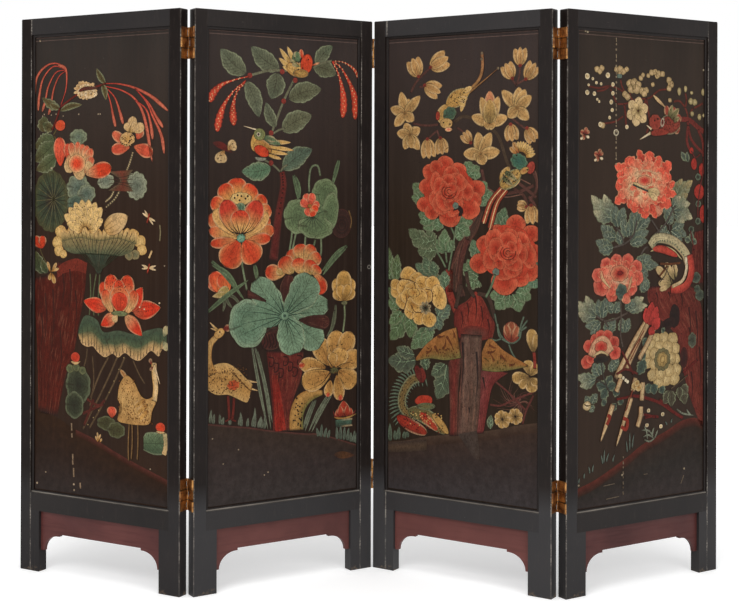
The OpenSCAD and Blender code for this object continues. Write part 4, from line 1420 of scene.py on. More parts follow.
        for path, half in (
            ([(250, 640), (208, 672), (164, 732)], 36), ([(238, 644), (292, 656), (366, 664)], 32),
            ([(238, 646), (290, 690), (318, 738)], 42), ([(240, 652), (296, 606), (348, 566)], 36),
            ([(240, 654), (258, 604), (272, 548)], 38),
        ):
            art.blade(
                path, half, lambda t: petal_shape(t * 0.97), lobe, 1.6, 30, kind=VEINED, frill=3,
                deep=0.05,
            )
        art.disc(200, 650, 44, 34, run((106, 134, 108), (102, 128, 104)), line=0)
        for x, z in (
            (100, 660), (92, 622), (112, 596), (150, 572), (128, 680), (168, 690), (184, 716), (214, 724),
            (204, 600), (232, 610), (292, 726), (342, 706), (358, 676), (350, 646), (306, 566),
            (282, 556), (256, 562), (334, 580), (228, 690), (286, 690),
        ):
            a, b = np.array([244.0, 642.0]), np.array([x, z], float)
            art.stems(
                (40, 62, 52), 1.2, [a + (b - a) * 0.1, a + (b - a) * 0.5 + (1.5, 2), a + (b - a) * 0.92],
                shape=taper_shape, line=0,
            )
            art.rise -= LAYER
        art.mass(
            [(282, 628), (316, 612), (354, 602)], [(284, 633), (320, 640), (357, 640)], dark, line=0.8,
            kind=BARKED,
        )
        art.mass(
            [(192, 677), (166, 684), (142, 690)], [(194, 682), (170, 696), (142, 710)], dark, line=0.8,
            kind=BARKED,
        )
        art.disc(244, 642, 11, 11, run((116, 148, 124), green), ink=(40, 62, 52))
        art.disc(244, 642, 4, 4, run((60, 84, 70)), line=0)
    with Motif(2, "trunk") as art:
        art.mass(
            [(298, 552), (292, 490), (268, 430), (264, 362)],
            [(194, 560), (202, 500), (210, 430), (213, 364)],
            over((84, 40, 34), (104, 42, 35), (92, 38, 34), (86, 34, 30)), kind=BARKED,
        )
        art.blade(
            [(216, 500), (226, 440), (234, 364)], 15, lambda t: 0.5 + 0.5 * t,
            run((108, 38, 31), (136, 40, 32), (150, 44, 34)), line=0, kind=BARKED,
        )
        for i in range(7):
            x, z = 210 + i * 13, 534 - 14 * (i % 3)
            art.stems(
                (50, 28, 25), 1.5,
                [(x - 8, z + 10), (x + 5, z + 6), (x + 3, z - 10), (x - 7, z - 12), (x - 6, z)], line=0,
            )
            art.stems((128, 58, 44), 1.2, [(x + 4, z - 18), (x, z - 48)], shape=taper_shape, line=0)
        spotted = [(258, 362), (260, 408), (278, 444), (312, 458), (352, 454)]
        art.mass(
            [(298, 360), (298, 396), (310, 420), (330, 434), (354, 442)], spotted,
            over((96, 104, 60), (158, 116, 62), GOLD, OCHRE),
        )
        for low, high in ((368, 400), (400, 440)):
            art.speckle(INK, 2.2, 12, 264 + (high > 400) * 10, 296, low, high)
    with Motif(2, "lotus_gold", 1) as art:
        gold, edge = (192, 144, 80), (208, 166, 100)
        heart = (152, 106, 56)
        art.petals(
            heart, gold, (372, 512, 334, 582, 26), (384, 515, 392, 600, 27), (398, 520, 434, 594, 25),
            (398, 508, 461, 536, 26), (362, 508, 286, 523, 20), rim=edge,
        )
        art.petals(
            heart, gold, (396, 500, 448, 460, 27), (392, 490, 402, 424, 17), (374, 478, 366, 436, 14),
            (376, 494, 292, 474, 30), rim=edge,
        )
        art.petals(heart, (206, 160, 92), (388, 506, 410, 554, 25), (376, 506, 382, 546, 15), rim=edge)
        art.disc(384, 500, 13, 8, run((72, 70, 44), (96, 92, 58)))
        art.petals(
            (206, 120, 70), (188, 70, 48), (302, 520, 284, 518, 8), (404, 440, 402, 424, 8),
            (368, 448, 366, 436, 7),
        )
        art.stems(
            INK, 1.2, [(376, 500), (340, 506), (300, 502)], [(380, 510), (366, 530), (362, 552)],
            [(392, 508), (414, 516), (440, 516)], [(372, 496), (348, 470), (310, 458)], shape=taper_shape,
            line=0,
        )
        art.speckle((92, 62, 30), 1.5, 60, 306, 446, 462, 584)
    with Motif(2, "bud_gold") as art:
        gold = (196, 151, 82)
        art.petals(
            (126, 92, 48), gold, (412, 672, 386, 728, 18), (412, 672, 438, 726, 18),
            (412, 672, 384, 700, 16), (412, 672, 442, 700, 16), (412, 668, 412, 748, 23),
            rim=(198, 160, 96),
        )
        art.petals(
            (126, 92, 48), gold, (412, 670, 398, 712, 14), (412, 670, 428, 712, 14), rim=(198, 160, 96),
        )
        art.disc(414, 666, 10, 6, run(sage, (120, 116, 80)), lobes=3, depth=0.1)
        art.stems((112, 122, 92), 2.4, [(414, 662), (415, 630), (410, 592)])
        reeds(art, sage, 4.5, [(389, 664), (384, 620), (368, 580)], [(386, 650), (378, 606), (362, 584)])
    with Motif(2, "goose", 1) as art:
        hide, pale = (176, 132, 74), (200, 162, 104)
        art.stems((98, 40, 33), 3.4, [(92, 462), (94, 430), (96, 402)], [(108, 456), (106, 424), (103, 400)])
        art.stems((98, 40, 33), 2, [(96, 404), (84, 400)], [(103, 402), (114, 398)])
        art.petals(
            pale, pale, (132, 494, 170, 486, 5), (130, 480, 172, 466, 5), (132, 466, 150, 450, 7),
            shape=taper_shape,
        )
        low = [(37, 478), (62, 464), (92, 462), (118, 450), (142, 440), (150, 456)]
        high = [(37, 520), (56, 536), (88, 538), (116, 522), (138, 500), (158, 482)]
        art.mass(low, high, over(pale, hide, hide, pale), line=1.4)
        art.blade(
            [(52, 512), (40, 545), (44, 582), (66, 606)], 9, lambda t: 1.3 - 0.5 * t,
            rimmed(hide, pale, OCHRE),
        )
        art.disc(69, 609, 16, 11, run(pale, hide), turn=34)
        art.petals(GOLD, pale, (64, 616, 44, 636, 4.5), (62, 616, 46, 622, 3.5), shape=taper_shape)
        art.petals(MAROON, (112, 46, 38), (78, 618, 98, 622, 9))
        art.disc(106, 484, 17, 13, run((150, 56, 34), (166, 82, 46)), line=0, lobes=7, depth=0.2)
        art.speckle((84, 56, 32), 1.7, 64, 42, 142, 466, 524)
        art.speckle((72, 46, 28), 1.3, 60, 42, 128, 466, 532)
        art.stems(
            (92, 62, 34), 1,
            *[[(100 + i * 9, 516 - i * 9), (118 + i * 9, 502 - i * 9)] for i in range(5)], line=0,
        )
        art.dots(INK, 2.2, (70, 612))
    with Motif(2, "reeds_low") as art:
        reeds(
            art, (108, 114, 94), 4.2, [(156, 572), (176, 472), (200, 368)],
            [(164, 570), (190, 480), (208, 368)], [(170, 562), (194, 470), (212, 384)],
            [(333, 432), (316, 396), (302, 356)], [(326, 430), (308, 392), (296, 360)],
            [(378, 442), (350, 404), (320, 352)], [(366, 440), (338, 400), (312, 354)],
        )
        tufts(
            art, (100, 106, 90), 4, (46, 398, 3, 34), (54, 396, 3, 26), (72, 394, -2, 26),
            (78, 392, 3, 20), (98, 390, -3, 24), (122, 386, 4, 26), (128, 384, -3, 36), (144, 382, 2, 22),
            (158, 380, 5, 32), (164, 378, 0, 50), (174, 376, 5, 26), (182, 374, -2, 32),
            (190, 372, 3, 38),
        )
        tufts(
            art, (92, 102, 88), 4.4, (340, 340, -6, 24), (348, 338, 2, 34), (358, 336, 6, 26),
            (368, 334, 5, 22), (394, 328, -2, 34), (404, 326, 0, 38), (414, 324, 2, 36),
            (424, 322, 4, 34), (434, 318, 0, 26), (442, 316, 3, 32), (449, 313, 2, 30),
        )
    with Motif(2, "bud_low") as art:
        art.petals(
            (110, 46, 36), (168, 62, 44), (402, 382, 394, 404, 12), (426, 382, 434, 404, 12),
            (413, 382, 412, 424, 17), (404, 382, 402, 412, 10), (422, 382, 424, 412, 10),
            shape=leaf_shape,
        )
        art.stems((126, 44, 38), 2.2, [(388, 384), (382, 402)], [(440, 386), (448, 398)], shape=taper_shape)
        art.blade([(384, 384), (414, 378), (452, 388)], 4, leaf_shape, run(OCHRE, GOLD))
        art.blade([(388, 368), (438, 368)], 10, stem_shape, over((48, 58, 50), (76, 104, 86)), kind=LINED)
    with Motif(2, "marks", 1) as art:
        art.blade(
            [(385, 292), (412, 288), (446, 284)], 9, leaf_shape,
            run((64, 46, 38), (84, 56, 36), (70, 46, 36)), line=0,
        )
        art.dots((150, 134, 112), 1.8, (52, 362), (190, 262), (200, 268), (120, 330), (80, 300))


def magnolia_bud(art, x, z, half, length, turn):
    """A closed gold bud: three petals from one foot, opening towards turn degrees."""
    a = math.radians(turn)
    foot = (x - math.cos(a) * length / 2, z - math.sin(a) * length / 2)
    for lean in (-0.5, 0.5, 0.0):
        tip = (foot[0] + math.cos(a + lean * 0.7) * length, foot[1] + math.sin(a + lean * 0.7) * length)
        row = (*foot, *tip, half * (0.6 if lean else 0.52))
        art.petals((156, 112, 70), (190, 144, 90), row, rim=(204, 170, 114), shape=pointed_shape, line=2.3)
    art.disc(*foot, 5, 4.5, run(MAROON, (128, 56, 44)), line=0.6)


def magnolia(art, x, z, half, *tips):
    """An open gold flower: a pointed petal to each tip and a small dark heart."""
    for px, pz in tips:
        art.petals(
            (146, 110, 70), (192, 148, 92), (x, z, px, pz, half), rim=(206, 172, 114),
            shape=pointed_shape, line=2.3,
        )
    art.disc(x, z, 5, 5, run((66, 66, 52), OCHRE), line=0.6, lobes=5, depth=0.2)


def paint_panel_3():
    crest = [(40, 318), (90, 326), (150, 342), (212, 353), (325, 374), (400, 394), (449, 404)]
    ground(3, crest, (74, 56, 44), 22, 0)
    bark = (84, 54, 47)
    with Motif(3, "branches_top") as art:
        art.stems(
            bark, 3.0, [(102, 1188), (120, 1216), (160, 1250)], [(125, 1202), (150, 1200)],
            [(108, 1112), (145, 1106), (182, 1108)],
        )
        art.stems(
            (70, 56, 44), 4.2,
            [(224, 1112), (252, 1126), (290, 1112), (322, 1096), (346, 1074), (366, 1020), (378, 996)],
        )
        art.stems(
            bark, 2.6, [(402, 1248), (400, 1220), (391, 1192)], [(376, 1216), (392, 1196)],
            [(418, 1210), (392, 1198)], [(370, 1126), (405, 1100), (428, 1086)],
            [(366, 1060), (386, 1078)], [(254, 1086), (232, 1100)], [(150, 1072), (176, 1092)],
            [(186, 1072), (176, 1096)],
        )
    with Motif(3, "branches_right") as art:
        art.stems(
            bark, 4, [(400, 1000), (436, 990), (446, 955), (426, 920)],
            [(300, 1000), (312, 960), (340, 940), (400, 945), (440, 960)],
            [(385, 952), (412, 935), (424, 905)], [(424, 935), (442, 910), (446, 880)],
            [(392, 970), (420, 950), (446, 930)], line=0.9,
        )
        art.stems(
            (112, 78, 66), 1.2, [(396, 1006), (440, 994), (449, 950)],
            [(322, 950), (360, 932), (408, 938)], [(400, 976), (430, 962)], line=0,
        )
    with Motif(3, "trunk_upper") as art:
        wood = over((90, 58, 48), (58, 44, 38), (70, 50, 42), (88, 52, 44))
        art.mass(
            [(306, 900), (290, 850), (258, 800), (244, 740), (246, 700)],
            [(292, 906), (262, 862), (234, 812), (216, 760), (208, 700)], wood, kind=BARKED,
        )
        art.blade(
            [(262, 830), (246, 780), (240, 730), (250, 690)], 8, stem_shape,
            rimmed((84, 46, 40), (64, 44, 38), UMBER), kind=BARKED,
        )
        art.stems(
            (66, 50, 42), 5, [(258, 752), (268, 712), (282, 690)], [(290, 700), (320, 690), (338, 640)],
            [(246, 720), (240, 700), (230, 660)],
        )
        art.stems(
            (98, 62, 52), 1.2, [(298, 900), (256, 836), (226, 770)], [(280, 880), (244, 810), (230, 740)],
            line=0,
        )
    with Motif(3, "magnolias_left", 1) as art:
        magnolia(art, 86, 1137, 14, (98, 1174), (74, 1192), (130, 1180), (43, 1152), (55, 1106), (112, 1118))
        magnolia(
            art, 100, 1084, 14, (130, 1100), (86, 1114), (62, 1090), (84, 1048), (128, 1046), (106, 1050),
        )
        magnolia_bud(art, 153, 1048, 22, 50, -84)
        magnolia_bud(art, 190, 1054, 21, 42, -82)
    with Motif(3, "buds_top", 1) as art:
        for bud in ((115, 1251, 24, 50, 112), (184, 1260, 26, 56, 24), (165, 1195, 22, 50, -24)):
            magnolia_bud(art, *bud)
    with Motif(3, "magnolias_right", 1) as art:
        for bud in ((402, 1264, 19, 44, 90), (372, 1231, 20, 42, 118), (430, 1228, 19, 46, 55)):
            magnolia_bud(art, *bud)
        magnolia(
            art, 394, 1142, 15, (354, 1186), (400, 1192), (416, 1186), (432, 1170), (425, 1113),
            (370, 1120),
        )
    with Motif(3, "magnolias_middle", 1) as art:
        art.petals((150, 80, 60), (186, 120, 84), (322, 1140, 322, 1186, 14), shape=pointed_shape)
        magnolia(
            art, 322, 1108, 15, (298, 1172), (346, 1172), (272, 1126), (370, 1122), (306, 1102),
            (338, 1102),
        )
        art.petals(
            (104, 86, 54), (182, 140, 82), (322, 1106, 322, 1166, 20), rim=(204, 170, 112),
            shape=pointed_shape, line=2.3,
        )
        magnolia(
            art, 298, 1034, 16, (290, 1088), (326, 1086), (250, 1036), (350, 1040), (286, 1016),
            (306, 1008),
        )
        magnolia_bud(art, 260, 1075, 16, 34, 130)
        magnolia_bud(art, 380, 1083, 21, 42, -84)
        magnolia_bud(art, 431, 1077, 19, 40, -58)
    with Motif(3, "bird_long_tail", 2) as art:
        plume = rimmed((146, 108, 66), (140, 96, 64), MAROON)
        art.blade([(262, 1184), (292, 1212), (302, 1240), (301, 1278)], 4.5, stem_shape, plume)
        art.blade([(262, 1180), (300, 1206), (346, 1239)], 4, taper_shape, plume)
        art.dots((112, 96, 76), 4, (301, 1276), (300, 1262), (344, 1238), line=0.6)
        hide = (176, 134, 74)
        art.petals(hide, GOLD, (256, 1184, 244, 1136, 8), (262, 1186, 228, 1150, 8), shape=blade_shape)
        art.blade(
            [(202, 1152), (236, 1172), (272, 1192)], 21, leaf_shape, rimmed(hide, (194, 152, 88), OCHRE),
            kind=VEINED,
        )
        art.petals(
            hide, (194, 156, 94), (228, 1170, 262, 1168, 7), (232, 1160, 256, 1152, 7),
            (240, 1180, 274, 1196, 7),
        )
        art.blade([(196, 1108), (190, 1132), (206, 1156)], 14, oval_shape, rimmed(hide, hide, CREAM))
        art.disc(
            213, 1134, 20, 17, run((58, 80, 68), (76, 96, 74)), turn=24, lobes=7, depth=0.12, kind=VEINED,
        )
        art.disc(204, 1110, 18, 13, run(GOLD, (190, 150, 98)))
        art.disc(180, 1129, 6.5, 12, run((122, 50, 40), (168, 66, 48)))
        art.disc(210, 1095, 11, 6, run(CORAL, CREAM))
        art.dots(INK, 2.2, (196, 1112), (214, 1108), line=0)
        art.speckle(INK, 1.6, 16, 216, 256, 1158, 1184)
    flesh = ((150, 48, 33), (176, 64, 44), (192, 96, 68))
    with Motif(3, "peony_top", 1) as art:
        knobs = (
            (200, 1010, 25), (160, 992, 24), (176, 1004, 20), (236, 994, 24), (150, 956, 24),
            (286, 950, 26), (278, 924, 24), (142, 912, 22), (164, 894, 22), (268, 902, 29),
            (214, 884, 31),
        )
        peony(art, 212, 944, 72, flesh, 31, *knobs)
        art.blade([(224, 898), (236, 906), (246, 896), (238, 884)], 6, oval_shape, run(INK))
        art.disc(230, 910, 9, 9, run((76, 92, 84), (112, 120, 104)), lobes=5, depth=0.12)
    leaf, pale = (84, 106, 76), (106, 124, 90)
    with Motif(3, "leaves_top") as art:
        art.leaves(
            leaf, pale, (262, 980, 296, 1004, 17), (256, 990, 274, 1016, 15), (274, 986, 298, 980, 13),
            (290, 940, 316, 966, 18), (294, 930, 334, 938, 15), (298, 924, 312, 910, 12), rib=RIB_GREEN,
        )
        art.leaves(
            (88, 104, 74), (102, 118, 84), (148, 938, 108, 964, 18), (148, 930, 104, 930, 17),
            (148, 920, 128, 902, 15), rib=RIB_GREEN,
        )
        art.leaves(
            leaf, pale, (168, 886, 124, 888, 17), (176, 878, 138, 852, 18), (180, 878, 178, 846, 16),
            (168, 880, 128, 868, 14), (236, 862, 278, 872, 16), (230, 860, 270, 838, 17),
            (236, 850, 240, 824, 14), rib=RIB_GREEN,
        )
    with Motif(3, "leaves_middle") as art:
        art.leaves(
            (84, 94, 68), (96, 106, 78), (178, 804, 96, 852, 24), (178, 802, 122, 798, 22),
            (172, 812, 152, 852, 17), (168, 824, 118, 820, 18), rib=RIB_GREEN,
        )
        art.leaves(
            leaf, pale, (202, 796, 176, 828, 15), (204, 796, 200, 854, 17), (208, 796, 226, 826, 14),
            rib=RIB_GREEN,
        )
        art.leaves(
            (78, 98, 74), (92, 112, 84), (352, 848, 332, 886, 17), (354, 850, 364, 908, 17),
            (358, 852, 378, 884, 15), (298, 780, 276, 830, 17), (300, 770, 290, 810, 14), rib=RIB_GREEN,
        )
        art.stems(
            (96, 110, 84), 2.4, [(238, 896), (228, 840), (210, 750)], [(216, 860), (228, 836)],
            [(172, 804), (190, 780), (203, 758)], [(202, 800), (206, 770)],
        )
    with Motif(3, "bird_red_tail", 2) as art:
        for path in ([(356, 954), (326, 920), (306, 868)], [(368, 950), (342, 916), (323, 854)]):
            art.blade(path, 7, stem_shape, rimmed((146, 62, 42), (162, 76, 52), MAROON))
            art.stems(CREAM, 1.1, path, line=0)
        art.petals(
            (150, 110, 60), GOLD, (352, 958, 398, 990, 15), (354, 968, 374, 1004, 13),
            (362, 958, 404, 974, 12), shape=blade_shape,
        )
        art.blade(
            [(350, 956), (376, 972), (404, 994)], 19, oval_shape,
            rimmed((166, 128, 70), GOLD, (98, 92, 58)), kind=VEINED,
        )
        art.petals(
            (76, 84, 58), (112, 108, 72), (364, 992, 396, 970, 7), (358, 978, 384, 960, 7),
            shape=blade_shape,
        )
        art.petals(OCHRE, (204, 164, 94), *fan(404, 1024, 14, 40, 6, 11, 122, 14), shape=blade_shape)
        art.petals((140, 74, 50), OCHRE, (396, 1030, 376, 1050, 6), (400, 1034, 384, 1062, 6))
        art.disc(
            400, 1016, 24, 19, run((52, 84, 74), (70, 104, 82)), turn=-30, lobes=8, depth=0.12,
            kind=VEINED,
        )
        art.disc(431, 1001, 11, 16, run((132, 52, 42), (160, 68, 56)), turn=-20)
        art.disc(414, 994, 13, 8, run((160, 100, 62), GOLD), turn=30)
        art.dots(INK, 2.2, (394, 1030), (422, 996))
        art.speckle(INK, 1.6, 26, 358, 398, 964, 994)
    with Motif(3, "peony_large", 1) as art:
        knobs = (
            (392, 868, 26), (432, 846, 24), (342, 846, 24), (312, 818, 26), (438, 800, 26),
            (296, 772, 28), (426, 758, 28), (402, 742, 26), (362, 730, 36),
        )
        peony(art, 372, 800, 74, flesh, 47, *knobs)
        art.disc(340, 753, 10, 10, run((76, 92, 84), (120, 126, 110)), lobes=5, depth=0.12)
        art.stems((96, 110, 84), 3, [(338, 748), (326, 715), (312, 690)])
    with Motif(3, "leaves_large") as art:
        art.leaves(
            (80, 98, 70), (94, 110, 78), (292, 740, 248, 770, 18), (290, 738, 258, 716, 17),
            (286, 750, 262, 782, 13), (294, 730, 284, 718, 12), rib=RIB_GREEN,
        )
        art.leaves(
            leaf, pale, (364, 704, 322, 696, 18), (362, 700, 338, 664, 19), (384, 702, 402, 660, 20),
            (392, 708, 432, 692, 19), (404, 716, 432, 716, 15), (376, 700, 368, 668, 14), rib=RIB_GREEN,
        )
        art.leaves(
            (88, 116, 94), (104, 130, 106), (424, 742, 448, 782, 15), (426, 738, 449, 720, 15),
            rib=RIB_GREEN,
        )
    with Motif(3, "leaves_left") as art:
        art.leaves(
            (84, 100, 66), (98, 112, 74), (54, 722, 38, 806, 16), (64, 722, 66, 788, 15),
            (44, 724, 36, 760, 12), rib=RIB_GREEN,
        )
        art.leaves(
            (78, 96, 74), (92, 108, 84), (168, 742, 116, 766, 17), (168, 738, 142, 784, 17),
            (176, 738, 166, 774, 15), (200, 706, 170, 744, 18), (204, 712, 200, 752, 15), rib=RIB_GREEN,
        )
        art.leaves(
            (84, 104, 70), (98, 116, 80), (76, 664, 34, 668, 17), (80, 672, 38, 704, 16),
            (68, 652, 50, 636, 14), (86, 642, 44, 572, 24), (98, 642, 102, 580, 20),
            (76, 648, 40, 612, 16), rib=RIB_GREEN,
        )
        art.leaves(
            leaf, pale, (148, 610, 104, 554, 20), (156, 608, 136, 562, 16), (162, 616, 150, 582, 13),
            rib=RIB_GREEN,
        )
        art.leaves(
            (80, 92, 80), (92, 104, 88), (186, 630, 216, 668, 17), (182, 640, 196, 670, 13),
            (168, 642, 156, 600, 17), (178, 640, 186, 604, 14), rib=RIB_GREEN,
        )
    with Motif(3, "peony_gold", 1) as art:
        gold, deep, edge = (192, 144, 78), (160, 108, 54), (208, 168, 102)
        petal = run(gold, gold, edge)
        art.clump(
            petal, (98, 736, 25), (122, 726, 22), (66, 696, 22), (60, 712, 16), (88, 704, 26),
            (140, 714, 27), (166, 718, 22), (84, 672, 24), (106, 646, 21), (130, 634, 22), (156, 630, 22),
            lobes=4, kind=LINED,
        )
        art.clump(
            run(deep, gold, edge), (108, 700, 24), (98, 684, 24), (112, 664, 24), (150, 690, 22), lobes=4,
            kind=LINED,
        )
        art.disc(
            184, 686, 22, 32, run((186, 138, 74), (212, 170, 104)), turn=16, lobes=3, depth=0.04,
            kind=LINED,
        )
        art.disc(128, 684, 25, 22, run((190, 142, 78), (206, 162, 96)), lobes=3, depth=0.06, kind=LINED)
        art.disc(112, 694, 18, 12, run(deep, gold, edge), lobes=4, depth=0.05)
        art.stems(
            (84, 54, 34), 1.1, [(72, 728), (110, 722), (118, 704)], [(104, 664), (118, 646), (142, 648)],
            [(146, 704), (164, 700), (166, 676)], [(84, 650), (92, 672), (90, 690)], line=0,
        )
        art.petals((58, 58, 46), (98, 96, 74), *fan(146, 658, 2, 17, 5, 7, 20, 330))
        art.speckle((112, 70, 34), 1.5, 60, 62, 190, 628, 742)
    with Motif(3, "rock") as art:
        art.blade(
            [(213, 756), (212, 706), (226, 668), (246, 636)], 11, stem_shape,
            rimmed((128, 50, 40), RUST, MAROON), kind=BARKED,
        )
        art.mass(
            [(330, 590), (338, 626), (326, 650), (308, 684), (288, 704)],
            [(236, 586), (225, 628), (232, 662), (262, 682), (284, 706)],
            over((92, 38, 32), (122, 46, 38), (138, 54, 42), (118, 46, 38), (92, 36, 32)), kind=BARKED,
        )
        art.disc(284, 604, 42, 18, run((92, 62, 54), (98, 54, 46), (112, 46, 38)), line=0)
        for x, z, drop in ((262, 676, 40), (284, 692, 60), (300, 670, 50), (318, 640, 40), (246, 654, 40)):
            art.stems(
                (66, 30, 26), 2.6, [(x, z), (x + 4, z - drop * 0.5), (x, z - drop)], shape=taper_shape,
                line=0,
            )
    with Motif(3, "trunk", 1) as art:
        art.mass(
            [(250, 596), (246, 530), (240, 470), (238, 352)],
            [(211, 530), (212, 480), (215, 420), (214, 350)],
            over((74, 52, 44), (102, 44, 38), (110, 44, 38), (78, 48, 42)), kind=BARKED,
        )
        art.mass(
            [(374, 516), (336, 486), (322, 440), (308, 366)],
            [(298, 532), (292, 480), (286, 430), (282, 360)],
            over((98, 40, 38), (114, 48, 46), (118, 58, 56), (86, 52, 48)), kind=BARKED,
        )
        art.mass(
            [(303, 600), (300, 520), (298, 440), (290, 362)],
            [(245, 600), (246, 520), (240, 440), (236, 352)],
            over((80, 54, 46), (102, 80, 68), (92, 68, 58), (114, 88, 76), (86, 52, 45)), kind=BARKED,
            line=0.6,
        )
        art.mass(
            [(290, 370), (294, 340), (298, 302)], [(238, 356), (262, 330), (284, 302)],
            over((62, 50, 44), (70, 58, 52), (60, 50, 45)), line=0,
        )
        art.stems(
            (44, 34, 32), 3, [(268, 424), (270, 410)], [(288, 560), (292, 500), (286, 440)],
            [(250, 580), (252, 520), (246, 450)], [(306, 500), (312, 470)], shape=taper_shape, line=0,
        )
    with Motif(3, "fungus_plates", 2) as art:
        plate = over((110, 104, 60), (140, 96, 52), (148, 94, 50), (158, 106, 60))
        art.mass(
            [(120, 525), (158, 534), (204, 533), (248, 542)],
            [(116, 530), (150, 570), (196, 602), (234, 616)], plate,
        )
        art.mass(
            [(302, 516), (340, 515), (380, 522), (424, 534)],
            [(302, 560), (324, 594), (362, 568), (424, 538)], plate,
        )
        for x, z, dx, dz in (
            (150, 548, 16, 14), (172, 566, 12, -20), (196, 560, 8, 26), (206, 592, 18, -30),
            (228, 590, -6, 20), (180, 590, 20, 4), (318, 560, 22, 8), (336, 540, -14, 22),
            (352, 556, 18, -14), (322, 578, 20, -6), (376, 534, 16, 8),
        ):
            art.stems(
                (98, 54, 32), 3.6, [(x, z), (x + dx * 0.5 + 3, z + dz * 0.5 - 2), (x + dx, z + dz)],
                shape=taper_shape, line=0,
            )
        art.speckle((92, 52, 30), 2.0, 26, 150, 240, 536, 566)
        art.speckle((86, 66, 32), 2.0, 24, 304, 372, 520, 550)
    with Motif(3, "bud_sepals", 1) as art:
        art.disc(381, 612, 22, 26, run((112, 42, 36), (132, 62, 48)))
        art.petals(
            (110, 42, 36), (150, 82, 58), (380, 588, 382, 638, 12), (378, 590, 366, 630, 10),
            (384, 590, 398, 628, 9),
        )
        green = (88, 100, 84)
        art.stems(
            green, 2.2,
            [(336, 656), (345, 622), (356, 600), (380, 586), (402, 598), (408, 622), (424, 644)],
            [(344, 632), (350, 600), (380, 584)], [(400, 602), (406, 630), (414, 652)],
            [(404, 616), (422, 628)], [(374, 584), (384, 562), (400, 542)],
            [(356, 596), (340, 590), (324, 594)],
        )
    with Motif(3, "flowers_right", 1) as art:
        gold, deep, edge = (186, 144, 84), (112, 88, 56), (206, 168, 110)
        art.petals(
            deep, gold, (428, 512, 382, 502, 15), (428, 514, 424, 550, 15), (430, 512, 449, 542, 12),
            (428, 510, 438, 474, 16), (424, 508, 404, 482, 11), (430, 508, 449, 494, 11), rim=edge,
        )
        art.petals(deep, gold, (436, 568, 434, 624, 15), (440, 568, 446, 612, 9), rim=edge)
        art.stems((132, 54, 44), 4, [(440, 570), (442, 548), (442, 530)])
        art.petals(
            deep, gold, *fan(358, 404, 2, 22, 9, 7, 0, 310), *fan(392, 414, 2, 20, 8, 7, 20, 330),
            rim=edge,
        )
        magnolia_bud(art, 407, 911, 17, 26, 170)
        magnolia_bud(art, 434, 890, 20, 46, -84)
    with Motif(3, "twigs") as art:
        draw = art.random
        for i in range(34):
            a = draw.uniform(-0.5, 2 * math.pi - 1.2)
            reach = draw.uniform(26, 66)
            end = (398 + reach * math.cos(a), 448 + reach * 0.8 * math.sin(a))
            bend = (398 + reach * 0.5 * math.cos(a + 0.5), 448 + reach * 0.4 * math.sin(a + 0.5))
            if 330 < end[0] < 449:
                art.stems(
                    [(92, 56, 48), (72, 44, 40), (112, 78, 66)][i % 3], 1.2, [(400, 446), bend, end],
                    shape=taper_shape, line=0,
                )
                art.rise -= LAYER * 0.6
        art.stems(
            (92, 50, 44), 2.6, [(324, 436), (352, 436), (386, 452), (444, 478)],
            [(330, 498), (372, 470), (420, 430)], [(440, 470), (420, 430), (410, 396)],
        )
        art.leaves((74, 84, 68), (88, 98, 78), (326, 378, 328, 412, 9), rib=RIB_GREEN)
    with Motif(3, "leaves_slate") as art:
        art.leaves(
            (72, 80, 66), (82, 90, 74), (120, 528, 36, 522, 27), (114, 540, 62, 556, 16), rib=RIB_GREEN,
        )
        art.leaves(
            (76, 86, 68), (88, 98, 78), (206, 522, 178, 436, 27), (200, 524, 162, 494, 17), rib=RIB_GREEN,
        )
        art.leaves((68, 80, 62), (76, 88, 70), (150, 506, 144, 548, 14), rib=RIB_GREEN)
    with Motif(3, "pheasant", 1) as art:
        plume = run((70, 84, 66), (104, 116, 98))
        for sign, reach, half in ((1, 30, 2.4), (-1, 20, 2.2)):
            quills = curve([(146, 490), (104, 482), (78, 446), (76, 404), (98, 376)], 24 if sign > 0 else 15)
            side = leftward(quills) * -sign
            for a, out in zip(quills[: 22 if sign > 0 else 11], side):
                droop = np.array((-5.0, -9.0)) if sign > 0 else np.array((4.0, -6.0))
                art.blade(
                    [a, a + out * reach * 0.55 + droop * 0.3, a + out * reach + droop], half, blade_shape,
                    plume, line=0.5,
                )
                art.rise -= LAYER * 0.5
        neck = [(134, 488), (104, 474), (82, 440), (82, 408), (108, 384)]
        art.blade(neck, 12, stem_shape, over((88, 78, 50), (128, 102, 62), (82, 76, 50)), kind=VEINED)
        art.dots(
            (56, 42, 32), 2.0,
            *[
                tuple(p + leftward(curve(neck, 18))[i] * (6 if i % 2 else -5))
                for i, p in enumerate(curve(neck, 18))
            ],
        )
        art.blade(
            [(64, 384), (104, 366), (152, 350)], 17, oval_shape,
            rimmed((164, 52, 38), (150, 54, 38), MAROON), kind=LINED,
        )
        art.blade(
            [(96, 400), (146, 392), (208, 356)], 20, oval_shape,
            rimmed((96, 92, 58), (136, 110, 62), OLIVE), kind=VEINED,
        )
        art.blade(
            [(130, 398), (154, 382), (182, 360)], 12, oval_shape, run((176, 58, 40), (164, 62, 42)),
            kind=LINED,
        )
        art.blade([(166, 400), (190, 378), (212, 354)], 10, oval_shape, rimmed((176, 132, 74), GOLD, OCHRE))
        art.disc(142, 430, 27, 14, run((176, 54, 38), (160, 58, 40)), turn=10, lobes=5, depth=0.06)
        art.disc(148, 416, 27, 9, run((112, 100, 60), (100, 108, 80)), turn=6, kind=VEINED)
        art.blade([(120, 516), (128, 494), (138, 472)], 10, oval_shape, run(MAROON, (100, 46, 40)))
        art.blade([(134, 512), (142, 490), (136, 472)], 7, oval_shape, run((112, 46, 38), MAROON))
        art.speckle((190, 156, 98), 1.7, 44, 104, 200, 366, 402)
